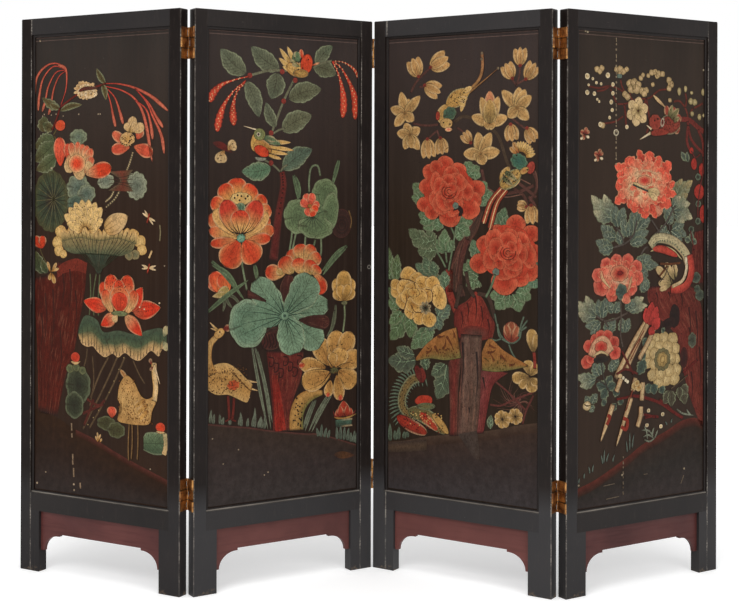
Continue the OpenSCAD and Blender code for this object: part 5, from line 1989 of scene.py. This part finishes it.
        art.speckle(INK, 1.5, 50, 84, 196, 356, 402)
        art.speckle((120, 44, 34), 1.7, 16, 96, 190, 352, 400)
    with Motif(3, "tufts") as art:
        tufts(
            art, (84, 94, 78), 6, (45, 320, -1, 46), (60, 324, -1, 26), (69, 326, 2, 34),
            (86, 330, 1, 20), (94, 334, 2, 16),
        )
    with Motif(3, "marks", 1) as art:
        art.mass(
            [(40, 292), (90, 298), (150, 308)], [(40, 316), (90, 324), (150, 334)],
            over((62, 50, 42), (82, 64, 50), (60, 48, 42)), line=0,
        )


def paint_panel_4():
    crest = [(40, 250), (100, 267), (190, 306), (250, 336), (325, 360), (375, 380), (420, 384), (449, 372)]
    ground(4, crest, (92, 42, 33), 22, 0)
    bark = (96, 46, 38)
    with Motif(4, "plum_branches") as art:
        art.stems(
            bark, 2.4, [(70, 1193), (105, 1190), (140, 1196), (176, 1186), (194, 1170)],
            [(96, 1182), (120, 1186), (138, 1196)], [(172, 1214), (176, 1198), (186, 1184)],
            [(160, 1154), (190, 1156), (226, 1168), (265, 1172), (296, 1191), (326, 1196)],
            [(118, 1106), (155, 1112), (182, 1126)], [(140, 1190), (150, 1172), (160, 1156)],
        )
        art.stems(
            bark, 3, [(255, 1172), (262, 1140), (266, 1112), (256, 1084)],
            [(226, 1136), (244, 1150), (256, 1170)], [(190, 1100), (188, 1130), (184, 1154)],
            [(200, 1190), (206, 1170), (230, 1150)],
        )
    with Motif(4, "plum_branches_right") as art:
        art.stems(
            bark, 2.8, [(346, 1166), (366, 1168), (386, 1152), (397, 1126)],
            [(386, 1190), (390, 1172), (386, 1152)], [(414, 1152), (430, 1158), (448, 1166)],
            [(412, 1152), (400, 1136)],
        )
        art.stems((108, 48, 42), 6.5, [(366, 1124), (400, 1122), (428, 1106), (451, 1094)])
        art.stems(
            (108, 48, 42), 4, [(394, 1120), (404, 1080), (424, 1058), (450, 1040)],
            [(396, 1110), (392, 1070), (408, 1040)], [(430, 1100), (446, 1070), (450, 1030)],
        )
    blossom = run((198, 168, 126), (186, 158, 116), (142, 120, 82))
    with Motif(4, "plum_left", 1) as art:
        art.clump(
            blossom, (97, 1234, 9), (112, 1237, 9), (106, 1229, 8), (159, 1236, 9), (170, 1238, 10),
            (180, 1232, 9), (191, 1238, 8), (168, 1226, 8), (115, 1102, 9), lobes=4, depth=0.16, line=0.7,
        )
        for x, z, r in (
            (67, 1216, 8), (84, 1211, 4.5), (131, 1221, 7.5), (95, 1202, 4.5), (71, 1196, 4),
            (110, 1200, 4.5), (67, 1178, 7), (89, 1176, 6), (147, 1200, 6), (147, 1179, 6),
            (142, 1158, 6.5), (145, 1139, 5.5), (137, 1121, 5), (108, 1104, 7), (98, 1163, 4),
            (192, 1100, 6), (104, 1158, 4),
        ):
            art.disc(
                x, z, r, r * 0.95, run((186, 160, 116), CREAM, BONE), turn=x, line=0.7, lobes=2,
                depth=0.08,
            )
            art.rise -= LAYER * 0.7
        art.disc(168, 1221, 9, 6, run((92, 104, 84), SLATE), lobes=4, depth=0.2, line=0.6)
        art.disc(158, 1086, 8, 8, run((34, 26, 23), (34, 26, 23), BONE), line=0)
    with Motif(4, "plum_middle", 1) as art:
        art.clump(
            blossom, (202, 1204, 13), (216, 1206, 14), (228, 1202, 12), (206, 1192, 13), (222, 1192, 14),
            (186, 1178, 10), (194, 1172, 10), (242, 1188, 11), (254, 1190, 10), (248, 1182, 10), lobes=4,
            depth=0.14, line=0.9,
        )
        art.clump(
            blossom, (237, 1219, 8), (244, 1227, 7), (261, 1226, 7), (276, 1205, 7), (272, 1234, 9),
            (284, 1236, 9), (296, 1232, 10), (308, 1232, 9), (290, 1226, 8), (330, 1218, 10),
            (336, 1208, 11), (330, 1198, 9), (333, 1169, 7), lobes=4, depth=0.14, line=0.8,
        )
        art.petals(
            (120, 100, 60), CREAM, *fan(226, 1138, 6, 37, 14, 6, 20, 320), shape=pointed_shape, frill=2,
            line=2,
        )
        art.petals(
            (104, 84, 50), (204, 176, 126), *fan(228, 1140, 2, 22, 9, 5, 50, 338), shape=pointed_shape,
            frill=2, line=1.6,
        )
        art.stems(
            (112, 92, 58), 1.1, [(204, 1206), (214, 1190)], [(220, 1208), (218, 1192)],
            [(284, 1240), (290, 1224)], [(334, 1216), (332, 1200)], line=0,
        )
    with Motif(4, "plum_right", 1) as art:
        for x, z, rx, rz in (
            (365, 1192, 7, 11), (386, 1199, 6, 9), (407, 1190, 6, 5), (404, 1169, 9, 9),
            (418, 1167, 9, 9), (409, 1138, 7, 7), (434, 1131, 7, 9), (446, 1193, 6, 10),
            (448, 1135, 4, 6),
        ):
            art.disc(
                x, z, rx, rz, run((198, 176, 134), (170, 152, 110), (128, 116, 80)), lobes=3, depth=0.12,
                line=0.8, phase=x,
            )
    with Motif(4, "bird_red", 2) as art:
        hide, pale = (128, 54, 44), (146, 70, 56)
        art.blade([(276, 1180), (296, 1166), (322, 1148)], 5, leaf_shape, run(CREAM, (190, 150, 110)))
        art.petals(
            hide, pale, (330, 1118, 320, 1156, 10), (340, 1118, 346, 1154, 12),
            (348, 1112, 368, 1134, 12), (344, 1104, 366, 1094, 12), (350, 1110, 368, 1112, 10),
        )
        art.blade(
            [(300, 1110), (334, 1110), (368, 1118)], 25, oval_shape, rimmed(hide, pale, MAROON),
            kind=VEINED,
        )
        art.petals(
            (84, 78, 50), (118, 112, 76), (336, 1124, 364, 1150, 9), (330, 1128, 342, 1158, 8),
            (344, 1118, 366, 1128, 7), shape=blade_shape,
        )
        art.blade([(268, 1086), (296, 1090), (332, 1092)], 9, oval_shape, run(hide, (138, 58, 46)))
        art.disc(284, 1114, 21, 20, run((150, 62, 50), hide, pale), lobes=8, depth=0.08)
        art.disc(308, 1114, 7, 13, run((90, 44, 38), (90, 44, 38), BONE), turn=-12)
        art.petals(CREAM, BONE, (270, 1088, 234, 1071, 4.5), (272, 1096, 256, 1106, 4), shape=taper_shape)
        art.dots(INK, 2.6, (282, 1118), (292, 1122))
        art.speckle((70, 34, 30), 1.6, 22, 300, 358, 1094, 1134)
    with Motif(4, "insects", 1) as art:
        for x, z in ((60, 1080), (103, 1030)):
            art.petals(
                (112, 52, 42), (146, 66, 52), (x + 4, z, x - 14, z + 6, 7),
                (x + 2, z - 2, x - 8, z - 12, 6), (x, z + 2, x + 6, z + 16, 6),
                (x + 4, z, x + 14, z + 8, 5),
            )
            art.petals(CREAM, BONE, (x + 2, z - 4, x + 14, z - 8, 4), (x - 4, z - 8, x - 14, z - 12, 3.4))
            art.dots(INK, 2, (x, z), (x - 5, z + 2))
    shell = [  # from the outer petals inwards, each from its foot to its tip
        ((176, 66, 52), (222, 94, 72)),
        ((216, 138, 106), (222, 94, 72)),
        ((222, 180, 138), (218, 116, 88)),
        ((222, 190, 146), (212, 94, 72)),
    ]
    with Motif(4, "peony_large", 1) as art:
        art.disc(250, 964, 88, 66, run((160, 54, 44), (184, 66, 54)), lobes=13, depth=0.08, line=0)
        art.petals(
            (190, 80, 66), (206, 136, 108), (288, 930, 296, 884, 17), (280, 930, 270, 896, 15), frill=2,
        )
        ruffled(
            art, 250, 964, 108, 84, shell[:3], (17, 0.5, 1.0, 17), (15, 0.34, 0.84, 15),
            (12, 0.2, 0.66, 14),
        )
        ruffled(art, 250, 966, 108, 84, shell[2:], (9, 0.1, 0.5, 13), (7, 0.05, 0.36, 12))
        for count, reach, start, stop in ((7, 0.42, 0.2, 2.6), (6, 0.3, 2.9, 5.2)):
            arc = [
                (251 + 106 * reach * math.cos(a), 972 + 60 * reach * math.sin(a))
                for a in np.linspace(start, stop, count)
            ]
            art.stems((208, 164, 126), 1.8, arc, shape=leaf_shape)
        art.disc(250, 972, 26, 14, run((170, 52, 44), (190, 70, 56), (210, 160, 120)), lobes=6, depth=0.1)
        art.petals(
            (176, 160, 110), (206, 176, 128), (258, 950, 300, 940, 11), (262, 944, 292, 926, 9),
            (212, 968, 240, 952, 7),
        )
        art.stems((64, 70, 60), 2.4, [(212, 962), (236, 954), (262, 946)])
    pale, slate, grey, rib = (202, 190, 152), (74, 87, 78), (106, 115, 102), (150, 156, 132)
    with Motif(4, "leaves_upper") as art:
        art.leaves(
            slate, pale, (148, 880, 80, 938, 19), (148, 882, 86, 900, 17), (150, 886, 120, 940, 17),
            rib=rib,
        )
        art.leaves(
            slate, grey, (166, 860, 156, 914, 17), (172, 862, 186, 908, 17), (196, 836, 184, 884, 15),
            (200, 836, 214, 880, 15), (160, 838, 110, 866, 17), (158, 836, 116, 844, 14),
            (150, 812, 94, 830, 16), (150, 812, 104, 806, 13), (176, 818, 168, 856, 14), rib=rib,
        )
        art.leaves(
            slate, grey, (214, 850, 224, 908, 16), (222, 852, 252, 900, 17), (228, 852, 272, 880, 15),
            (204, 820, 266, 850, 16), (206, 818, 262, 826, 13), rib=rib,
        )
        art.stems(
            (76, 68, 62), 2.4, [(150, 812), (190, 822), (215, 842), (226, 876)],
            [(158, 862), (178, 838), (184, 820)], [(238, 790), (250, 806), (262, 812)],
            [(200, 836), (210, 838)],
        )
    with Motif(4, "leaves_upper_right", 1) as art:
        art.leaves(
            slate, grey, (334, 902, 296, 944, 17), (332, 900, 310, 900, 13), (330, 866, 338, 910, 16),
            (326, 866, 350, 886, 12), (322, 862, 300, 844, 12), (338, 848, 392, 836, 16),
            (342, 852, 384, 864, 14), (342, 846, 376, 822, 13), (330, 850, 318, 832, 11), rib=rib,
        )
        art.leaves(
            (84, 94, 74), (194, 168, 118), (354, 926, 376, 978, 16), (358, 922, 412, 974, 17),
            (360, 918, 396, 940, 14), rib=rib,
        )
        art.leaves(
            slate, pale, (346, 900, 404, 916, 16), (350, 896, 412, 878, 17), (350, 890, 384, 868, 14),
            (344, 908, 372, 934, 14), rib=rib,
        )
        art.stems(
            (76, 68, 62), 2.4, [(276, 836), (318, 866), (352, 910)], [(270, 880), (296, 850), (300, 836)],
            [(330, 868), (334, 850)],
        )
    with Motif(4, "bird_ring", 2) as art:
        arch = over((120, 118, 92), (186, 172, 132), (198, 182, 142), (140, 136, 106))
        art.blade(
            [(268, 812), (292, 832), (344, 824), (384, 796), (398, 768)], 13, stem_shape, arch,
            kind=LINED,
        )
        art.blade(
            [(268, 800), (304, 808), (344, 800), (378, 776)], 6, leaf_shape,
            run((184, 168, 124), (176, 160, 116)),
        )
        art.blade(
            [(276, 806), (312, 804), (362, 786)], 10, oval_shape,
            rimmed((184, 76, 60), (172, 62, 50), (130, 48, 40)),
        )
        art.blade(
            [(400, 790), (408, 756), (398, 722), (372, 706), (336, 706)], 11, stem_shape,
            over((180, 80, 64), (176, 66, 54), (130, 50, 42)),
        )
        art.blade(
            [(388, 786), (390, 754), (376, 726), (340, 712)], 5, stem_shape,
            rimmed(BONE, (190, 160, 120), GOLD),
        )
        art.petals(
            (110, 100, 66), (186, 160, 114), (344, 722, 288, 762, 11), (344, 722, 296, 722, 9),
            (350, 728, 320, 772, 10), (356, 734, 348, 768, 9), (338, 716, 300, 706, 7), frill=3,
        )
        art.stems((96, 58, 36), 3, [(300, 770), (334, 768), (372, 770)], [(298, 738), (326, 764)])
        art.stems(
            (58, 50, 40), 1.3, [(300, 724), (318, 742), (330, 764)], [(340, 720), (330, 744), (318, 760)],
            [(352, 730), (350, 750), (346, 764)], line=0,
        )
        art.dots(
            (96, 100, 84), 2.2,
            *[tuple(p) for p in curve([(280, 816), (306, 826), (346, 818), (380, 790)], 14)],
        )
    with Motif(4, "red_buds", 1) as art:
        bud = run((150, 48, 42), (166, 58, 48), (150, 50, 42))
        for x, z, rx, rz in (
            (407, 1047, 8, 9), (416, 1014, 11, 16), (442, 1000, 10, 18), (434, 945, 18, 20),
            (447, 890, 12, 24),
        ):
            art.disc(x, z, rx, rz, bud, lobes=3, depth=0.06)
        for x, z in ((431, 915), (430, 872), (407, 852), (430, 982)):
            art.disc(
                x, z, 10, 9, run((44, 42, 36), (56, 60, 50), (110, 120, 100)), lobes=5, depth=0.1,
                line=0.6,
            )
        art.leaves(
            (70, 80, 68), grey, (392, 1022, 372, 1044, 9), (396, 1018, 392, 1044, 8),
            (404, 826, 384, 830, 9), (408, 824, 426, 816, 9), (408, 822, 410, 846, 9),
        )
        art.stems(
            (92, 42, 38), 2, [(440, 1040), (420, 1030), (407, 1046)],
            [(448, 1030), (446, 990), (438, 960), (430, 915), (430, 880)],
            [(404, 850), (410, 826), (418, 800)],
        )
        art.clump(
            run((52, 58, 50), (84, 92, 80)), (424, 732, 16), (437, 688, 16), (428, 704, 11), kind=VEINED,
        )
    with Motif(4, "rock") as art:
        art.mass(
            [(450, 852), (450, 800), (450, 716)], [(420, 846), (410, 800), (408, 716)],
            over((80, 34, 30), (92, 38, 32)), kind=BARKED,
        )
        left = [
            (262, 716), (262, 682), (286, 646), (352, 596), (374, 530), (394, 460), (420, 404),
            (442, 362),
        ]
        right = [
            (384, 716), (420, 704), (444, 660), (451, 600), (451, 540), (451, 470), (451, 410),
            (451, 358),
        ]
        art.mass(right, left, over((80, 36, 31), (98, 42, 34), (104, 44, 36), (92, 38, 33)), kind=BARKED)
        art.disc(352, 640, 18, 30, run((32, 25, 23), (42, 29, 26)), lobes=5, depth=0.08, line=0)
        art.disc(326, 620, 30, 14, run((34, 26, 24), (46, 31, 28)), line=0, turn=24)
        art.disc(384, 536, 13, 26, run((42, 28, 26), (62, 32, 28)), line=0)
        for x, z, drop in (
            (290, 700, 30), (330, 700, 24), (372, 700, 50), (400, 660, 90), (424, 650, 120),
            (436, 560, 110), (408, 500, 70), (400, 610, 40),
        ):
            art.stems(
                (54, 28, 25), 2.6, [(x, z), (x + 6, z - drop * 0.5), (x + 2, z - drop)],
                shape=taper_shape, line=0,
            )
        art.disc(412, 577, 15, 20, run((50, 52, 44), (88, 90, 76)), lobes=6, depth=0.12, kind=VEINED)
    with Motif(4, "peony_rose", 1) as art:
        art.clump(
            run((162, 60, 50), (190, 78, 64), (206, 118, 96)), (114, 722, 28), (102, 748, 20),
            (128, 772, 20), (160, 780, 20), (196, 780, 20), (224, 764, 20), (226, 738, 22),
            (206, 714, 22), (190, 696, 17), (146, 700, 20), lobes=6,
        )
        rose = ((172, 70, 56), (208, 98, 78)), ((206, 134, 106), (210, 102, 82)), (
            (212, 172, 138), (206, 116, 92),
        )
        ruffled(art, 168, 742, 74, 52, rose, (12, 0.3, 0.92, 15), (10, 0.2, 0.72, 14), (8, 0.14, 0.5, 12))
        art.disc(170, 750, 30, 21, run((158, 48, 42), (182, 68, 54), (208, 142, 108)), lobes=7, depth=0.1)
        art.disc(172, 751, 9, 6, run((120, 36, 34)))
        art.blade([(112, 760), (116, 740), (142, 714)], 5, leaf_shape, run((196, 130, 100), CREAM))
        art.blade([(192, 700), (204, 724), (208, 744)], 4, leaf_shape, run((196, 130, 100), CREAM))
        art.disc(176, 706, 19, 21, run((54, 66, 60), (82, 96, 86)), lobes=5, depth=0.14, kind=VEINED)
        art.petals((176, 70, 56), (200, 110, 88), (194, 704, 190, 676, 14), frill=2)
    with Motif(4, "leaves_lower") as art:
        art.leaves(
            slate, pale, (98, 650, 34, 690, 17), (96, 648, 40, 662, 15), (98, 654, 64, 702, 15),
            (202, 660, 250, 690, 14), (204, 656, 262, 670, 13), rib=rib,
        )
        art.leaves(
            slate, grey, (112, 646, 104, 692, 14), (118, 646, 134, 696, 16), (150, 656, 138, 686, 13),
            (156, 656, 176, 682, 14), (188, 664, 224, 676, 14), (112, 636, 62, 630, 13),
            (110, 634, 78, 610, 12), (136, 608, 158, 644, 16), (140, 608, 128, 640, 13),
            (186, 608, 178, 644, 14), (190, 608, 204, 642, 13), rib=rib,
        )
        art.stems(
            (80, 70, 62), 2.4, [(98, 652), (122, 640), (150, 640), (200, 656)],
            [(172, 700), (176, 650), (174, 606), (182, 572)], [(120, 642), (136, 624)],
        )
        art.leaves(
            slate, grey, (228, 762, 298, 766, 15), (226, 766, 274, 788, 15), (230, 768, 244, 790, 12),
            (226, 758, 264, 740, 14), (262, 706, 250, 742, 14), (258, 706, 238, 726, 13), rib=rib,
        )
    with Motif(4, "peony_small", 1) as art:
        art.clump(
            run((156, 54, 46), (180, 68, 56), (200, 110, 88)), (68, 545, 19), (80, 552, 15),
            (74, 582, 18), (94, 596, 17), (110, 604, 17), (132, 602, 18), (152, 586, 19), (156, 562, 20),
            lobes=5,
        )
        art.blade(
            [(82, 556), (96, 584), (122, 590), (142, 562)], 13, stem_shape,
            rimmed((206, 160, 124), (206, 160, 124), (190, 110, 88)), kind=LINED,
        )
        art.disc(112, 578, 21, 15, run((160, 46, 40), (180, 60, 50), (196, 110, 86)), lobes=6, depth=0.08)
        art.blade([(84, 556), (112, 566), (138, 556)], 4, leaf_shape, run(CREAM))
        art.disc(112, 548, 24, 8, run((34, 28, 26), (44, 40, 36)), line=0)
    with Motif(4, "leaves_foot") as art:
        deep = (62, 74, 66)
        art.leaves(slate, (186, 180, 146), (98, 506, 34, 514, 14), (96, 502, 46, 490, 12), rib=rib)
        art.leaves(
            slate, grey, (108, 510, 90, 542, 15), (114, 512, 114, 546, 14), (152, 518, 166, 556, 14),
            (150, 516, 146, 544, 12), (84, 446, 102, 468, 12), (80, 448, 64, 466, 10),
            (78, 440, 90, 426, 10), rib=rib,
        )
        art.leaves(
            deep, (74, 86, 76), (132, 482, 98, 492, 14), (130, 478, 112, 456, 14),
            (134, 484, 148, 508, 13), (134, 478, 160, 486, 13), (128, 440, 118, 454, 10),
            (148, 424, 162, 440, 10), (182, 438, 170, 454, 10), (150, 470, 172, 462, 12),
        )
        art.stems((62, 60, 54), 2, [(98, 504), (128, 486), (140, 470)], [(112, 548), (118, 516), (130, 486)])
        art.disc(69, 442, 14, 12, run(BONE, CREAM, (150, 130, 96)), lobes=3, depth=0.1)
        art.blade([(58, 448), (70, 442), (84, 444)], 2, leaf_shape, run((96, 80, 56)), line=0)
    with Motif(4, "stalks", 2) as art:
        cane = over((96, 62, 42), (190, 156, 114), (206, 178, 136), (104, 70, 48))
        for path in (
            [(258, 634), (214, 582), (156, 500)], [(272, 640), (236, 590), (190, 518)],
            [(286, 620), (262, 580), (232, 540)], [(176, 500), (160, 468)], [(222, 498), (212, 466)],
            [(246, 486), (242, 440)], [(240, 428), (238, 404), (228, 378)],
        ):
            art.blade(path, 7.6, stem_shape, cane, rows=16, line=1.6, kind=BARKED)
        for path in ([(150, 440), (134, 404), (111, 354)], [(208, 452), (192, 412), (160, 338)]):
            art.blade(path, 8, lambda t: 1 - 0.75 * t**3, cane, rows=16, line=1.6, kind=BARKED)
        art.stems(
            (132, 50, 38), 4.5, [(182, 404), (196, 396), (192, 376), (176, 384)],
            [(132, 414), (140, 410), (130, 392)], line=0,
        )
        art.stems(
            (112, 56, 40), 1.6, [(250, 610), (206, 556)], [(200, 540), (176, 516)],
            [(238, 590), (204, 540)], [(214, 470), (190, 420)], line=0,
        )
        art.disc(172, 505, 8, 6, run(CREAM))
        art.petals(
            (150, 56, 48), (172, 60, 54), (262, 624, 254, 666, 14), (266, 620, 276, 680, 17),
            (276, 618, 292, 668, 16), (276, 612, 302, 638, 15), (264, 614, 284, 600, 12),
            shape=leaf_shape, kind=PLAIN,
        )
        art.clump(
            run(OCHRE, (184, 154, 100), CREAM), (219, 478, 12), (232, 474, 12), (226, 484, 10), lobes=4,
        )
        art.dots(BONE, 4.5, (196, 490), (182, 500), (190, 494), line=0.5)
        art.stems(
            (92, 40, 34), 3, [(176, 566), (200, 530), (216, 506)], [(160, 510), (190, 520), (230, 506)],
        )
    with Motif(4, "flower_cream", 1) as art:
        bump = run((200, 176, 128), (190, 164, 116), (166, 140, 94))
        art.clump(
            bump, (290, 586, 18), (316, 588, 18), (344, 584, 19), (352, 560, 18), (354, 534, 17),
            (356, 508, 19), (350, 486, 19), (322, 486, 19), (298, 482, 18), (278, 500, 18),
            (264, 532, 18), (262, 554, 16), (276, 572, 17), lobes=5, depth=0.1, ink=(96, 78, 50),
            line=1.3,
        )
        art.clump(
            bump, (300, 566, 19), (328, 564, 19), (338, 536, 19), (332, 508, 19), (304, 504, 19),
            (284, 528, 19), (284, 552, 18), lobes=5, depth=0.1, ink=(96, 78, 50), line=1.3,
        )
        art.disc(310, 536, 28, 29, run((150, 128, 84), (124, 112, 74), (110, 104, 76)), lobes=11, depth=0.1)
        art.disc(310, 536, 19, 20, run((190, 160, 104), (178, 146, 90), (140, 120, 78)), lobes=7, depth=0.12)
        art.disc(311, 536, 8, 10, run((196, 168, 112), (150, 120, 70)), lobes=4, depth=0.1)
        art.leaves(
            (60, 74, 66), (74, 88, 78), (250, 542, 228, 504, 16), (254, 556, 232, 546, 13),
            (262, 590, 246, 572, 14), (270, 480, 258, 458, 14), (278, 478, 284, 452, 14),
            (304, 470, 312, 452, 12), (318, 604, 308, 612, 8),
        )
        art.leaves(
            (72, 68, 54), (86, 80, 64), (334, 458, 314, 428, 15), (338, 458, 340, 418, 14),
            (370, 462, 388, 420, 16), (374, 464, 396, 446, 14), (366, 464, 368, 436, 12),
        )
        art.stems((80, 66, 50), 1.8, [(338, 462), (360, 472), (396, 492)])
    with Motif(4, "branch_foot", 1) as art:
        red = (94, 34, 30)
        art.stems(red, 4, [(213, 455), (250, 448), (304, 430), (345, 406), (382, 386)])
        art.stems(
            red, 3.2, [(252, 398), (282, 400), (300, 396)], [(160, 450), (190, 452), (214, 455)],
            [(380, 498), (396, 508), (430, 528)], [(300, 440), (330, 420), (352, 400)],
            [(240, 408), (262, 404), (290, 396)],
        )
        for x, z in ((265, 415), (312, 402), (260, 380), (306, 373), (243, 407)):
            art.disc(x, z, 6, 5.5, run((120, 92, 60), CREAM, BONE), line=0.7, lobes=4, depth=0.12)
        reeds(
            art, (128, 132, 114), 2.2, [(282, 350), (266, 366), (240, 370)],
            [(284, 346), (264, 356), (246, 352)], [(250, 346), (270, 340), (292, 350)],
            [(262, 344), (258, 366), (250, 380)], [(276, 344), (280, 366), (284, 372)],
            [(284, 344), (292, 358), (296, 366)], [(358, 412), (376, 400), (398, 396)],
            [(366, 404), (388, 396), (420, 390)], [(392, 408), (400, 398), (410, 390)],
        )
        tufts(
            art, (94, 106, 96), 2.2, (196, 320, -4, 30), (204, 324, 0, 46), (212, 328, 6, 36),
            (118, 300, -6, 24), (122, 302, 2, 34), (130, 304, 8, 22), (150, 302, 6, 18),
            (78, 282, -4, 18), (86, 284, 4, 20), (60, 272, 2, 14), (44, 262, 2, 14), (340, 378, 4, 12),
            (326, 374, -6, 10),
        )
    with Motif(4, "chips", 1) as art:
        for i, z in enumerate(range(1312, 1000, -13)):
            art.stems(
                (138, 122, 100), 1.0 + 0.5 * (i % 3), [(157.6, z), (158.4, z - 5 - 5 * (i * 7 % 3 == 0))],
                line=0,
            )
        for i, z in enumerate(range(312, 216, -12)):
            art.stems((120, 106, 88), 1.2, [(183, z), (184, z - 4 - 3 * (i % 2))], line=0)
        art.dots(
            (160, 146, 122), 2.6, (61, 1322), (68, 1320), (180, 268), (385, 262), (448, 1248), (44, 258),
        )
        art.stems(
            (104, 92, 78), 0.9, [(120, 248), (156, 250)], [(130, 216), (170, 218)],
            [(250, 262), (262, 262)], [(374, 226), (384, 246)], line=0,
        )


paint_panel_1()
paint_panel_2()
paint_panel_3()
paint_panel_4()

# ---------------------------------------------------------------- floor, light and camera
IMAGE_WIDTH = 739
FOCAL_PIXELS = 1369.9
SENSOR = 36.0
CAMERA_AT = (-0.0276, -3.3193, 0.9549)
CAMERA_YAW = 0.217
CAMERA_ROLL = 0.16
SHIFT_X = 0.0216
SHIFT_Y = -0.1599
LAMPS = {  # where it hangs, what it faces, its width and height, and its power in watts
    "key": ((-1.6, -3.2, 3.4), (0, 0, 0.7), (2.4, 1.6), 60),
    "fill": ((2.2, -3.4, 2.6), (0, 0, 0.7), (2.4, 1.6), 40),
    "overhead": ((0, -0.6, 3.6), (0, 0, 0), (2.4, 2.0), 45),
}
FLOOR_SIZE = 60.0
FLOOR_DROP = 0.0005  # how far the floor lies below the feet
FLOOR_NEAR, FLOOR_FAR = (0.7, 0.27), (2.4, 0.8)  # distance from the middle, and the glow a camera sees there
SKY_LIGHT, SKY_SEEN = 0.55, 1.0  # the world's strength as light, and as background


def plane(name, size, centre):
    """A level square."""
    mesh = bpy.data.meshes.new(name)
    half = size / 2
    corners = [(-half, -half, 0), (half, -half, 0), (half, half, 0), (-half, half, 0)]
    mesh.from_pydata([tuple(Vector(c) + Vector(centre)) for c in corners], [], [(0, 1, 2, 3)])
    made = bpy.data.objects.new(name, mesh)
    bpy.context.scene.collection.objects.link(made)
    return made


def lamp(name, place, aim, size, power):
    """A soft rectangular lamp at a place, turned to its aim."""
    light = bpy.data.lights.new(name, "AREA")
    light.shape = "RECTANGLE"
    light.size, light.size_y = size
    light.energy = power
    made = bpy.data.objects.new(name, light)
    made.location = place
    made.rotation_euler = (Vector(aim) - Vector(place)).to_track_quat("-Z", "Y").to_euler()
    bpy.context.scene.collection.objects.link(made)


floor = plane("floor", FLOOR_SIZE, (0, 0, -FLOOR_DROP))
paper = Shader("floor_paper")
grain = paper.noise(paper.object_place(), 3, 3)
paper.plug(paper.blend(grain, (236, 236, 236), (240, 240, 240)), "Base Color")
paper.set(Roughness=0.95, Specular_IOR_Level=0.1)
rays = paper.node("ShaderNodeLightPath").outputs
seen = paper.most(paper.most(rays["Is Camera Ray"], rays["Is Transmission Ray"]), rays["Is Glossy Ray"])
paper.set(Emission_Color=(1, 1, 1, 1))
length = paper.node("ShaderNodeVectorMath", {0: paper.object_place()}, operation="LENGTH").outputs["Value"]
near, near_glow = FLOOR_NEAR
far, far_glow = FLOOR_FAR
paper.plug(paper.times(seen, paper.fit(length, near, far, near_glow, far_glow)), "Emission Strength")
floor.data.materials.append(paper.material)

world = bpy.data.worlds.new("studio")
bpy.context.scene.world = world
world.use_nodes = True
sky = world.node_tree
rays = sky.nodes.new("ShaderNodeLightPath").outputs
seen = rays["Is Camera Ray"]
for ray in ("Is Transmission Ray", "Is Glossy Ray"):
    either = sky.nodes.new("ShaderNodeMath")
    either.operation = "MAXIMUM"
    sky.links.new(seen, either.inputs[0])
    sky.links.new(rays[ray], either.inputs[1])
    seen = either.outputs[0]
strength = sky.nodes.new("ShaderNodeMapRange")
strength.inputs["To Min"].default_value = SKY_LIGHT
strength.inputs["To Max"].default_value = SKY_SEEN
sky.links.new(seen, strength.inputs["Value"])
sky.nodes["Background"].inputs["Color"].default_value = (1, 1, 1, 1)
sky.links.new(strength.outputs[0], sky.nodes["Background"].inputs["Strength"])

for name, lamp_row in LAMPS.items():
    lamp(name, *lamp_row)

camera_data = bpy.data.cameras.new("camera")
camera_data.sensor_width = SENSOR
camera_data.lens = FOCAL_PIXELS / IMAGE_WIDTH * SENSOR
camera_data.shift_x = SHIFT_X
camera_data.shift_y = SHIFT_Y
camera = bpy.data.objects.new("camera", camera_data)
camera.location = CAMERA_AT
level = Vector((math.radians(90), 0, math.radians(CAMERA_YAW)))
camera.rotation_euler = level
look = camera.rotation_euler.to_matrix()
roll = Vector((0, 0, 1))
camera.rotation_mode = "QUATERNION"
camera.rotation_quaternion = look.to_quaternion() @ Quaternion(roll, math.radians(CAMERA_ROLL))
bpy.context.scene.collection.objects.link(camera)
bpy.context.scene.camera = camera
bpy.context.scene.view_settings.view_transform = "Standard"
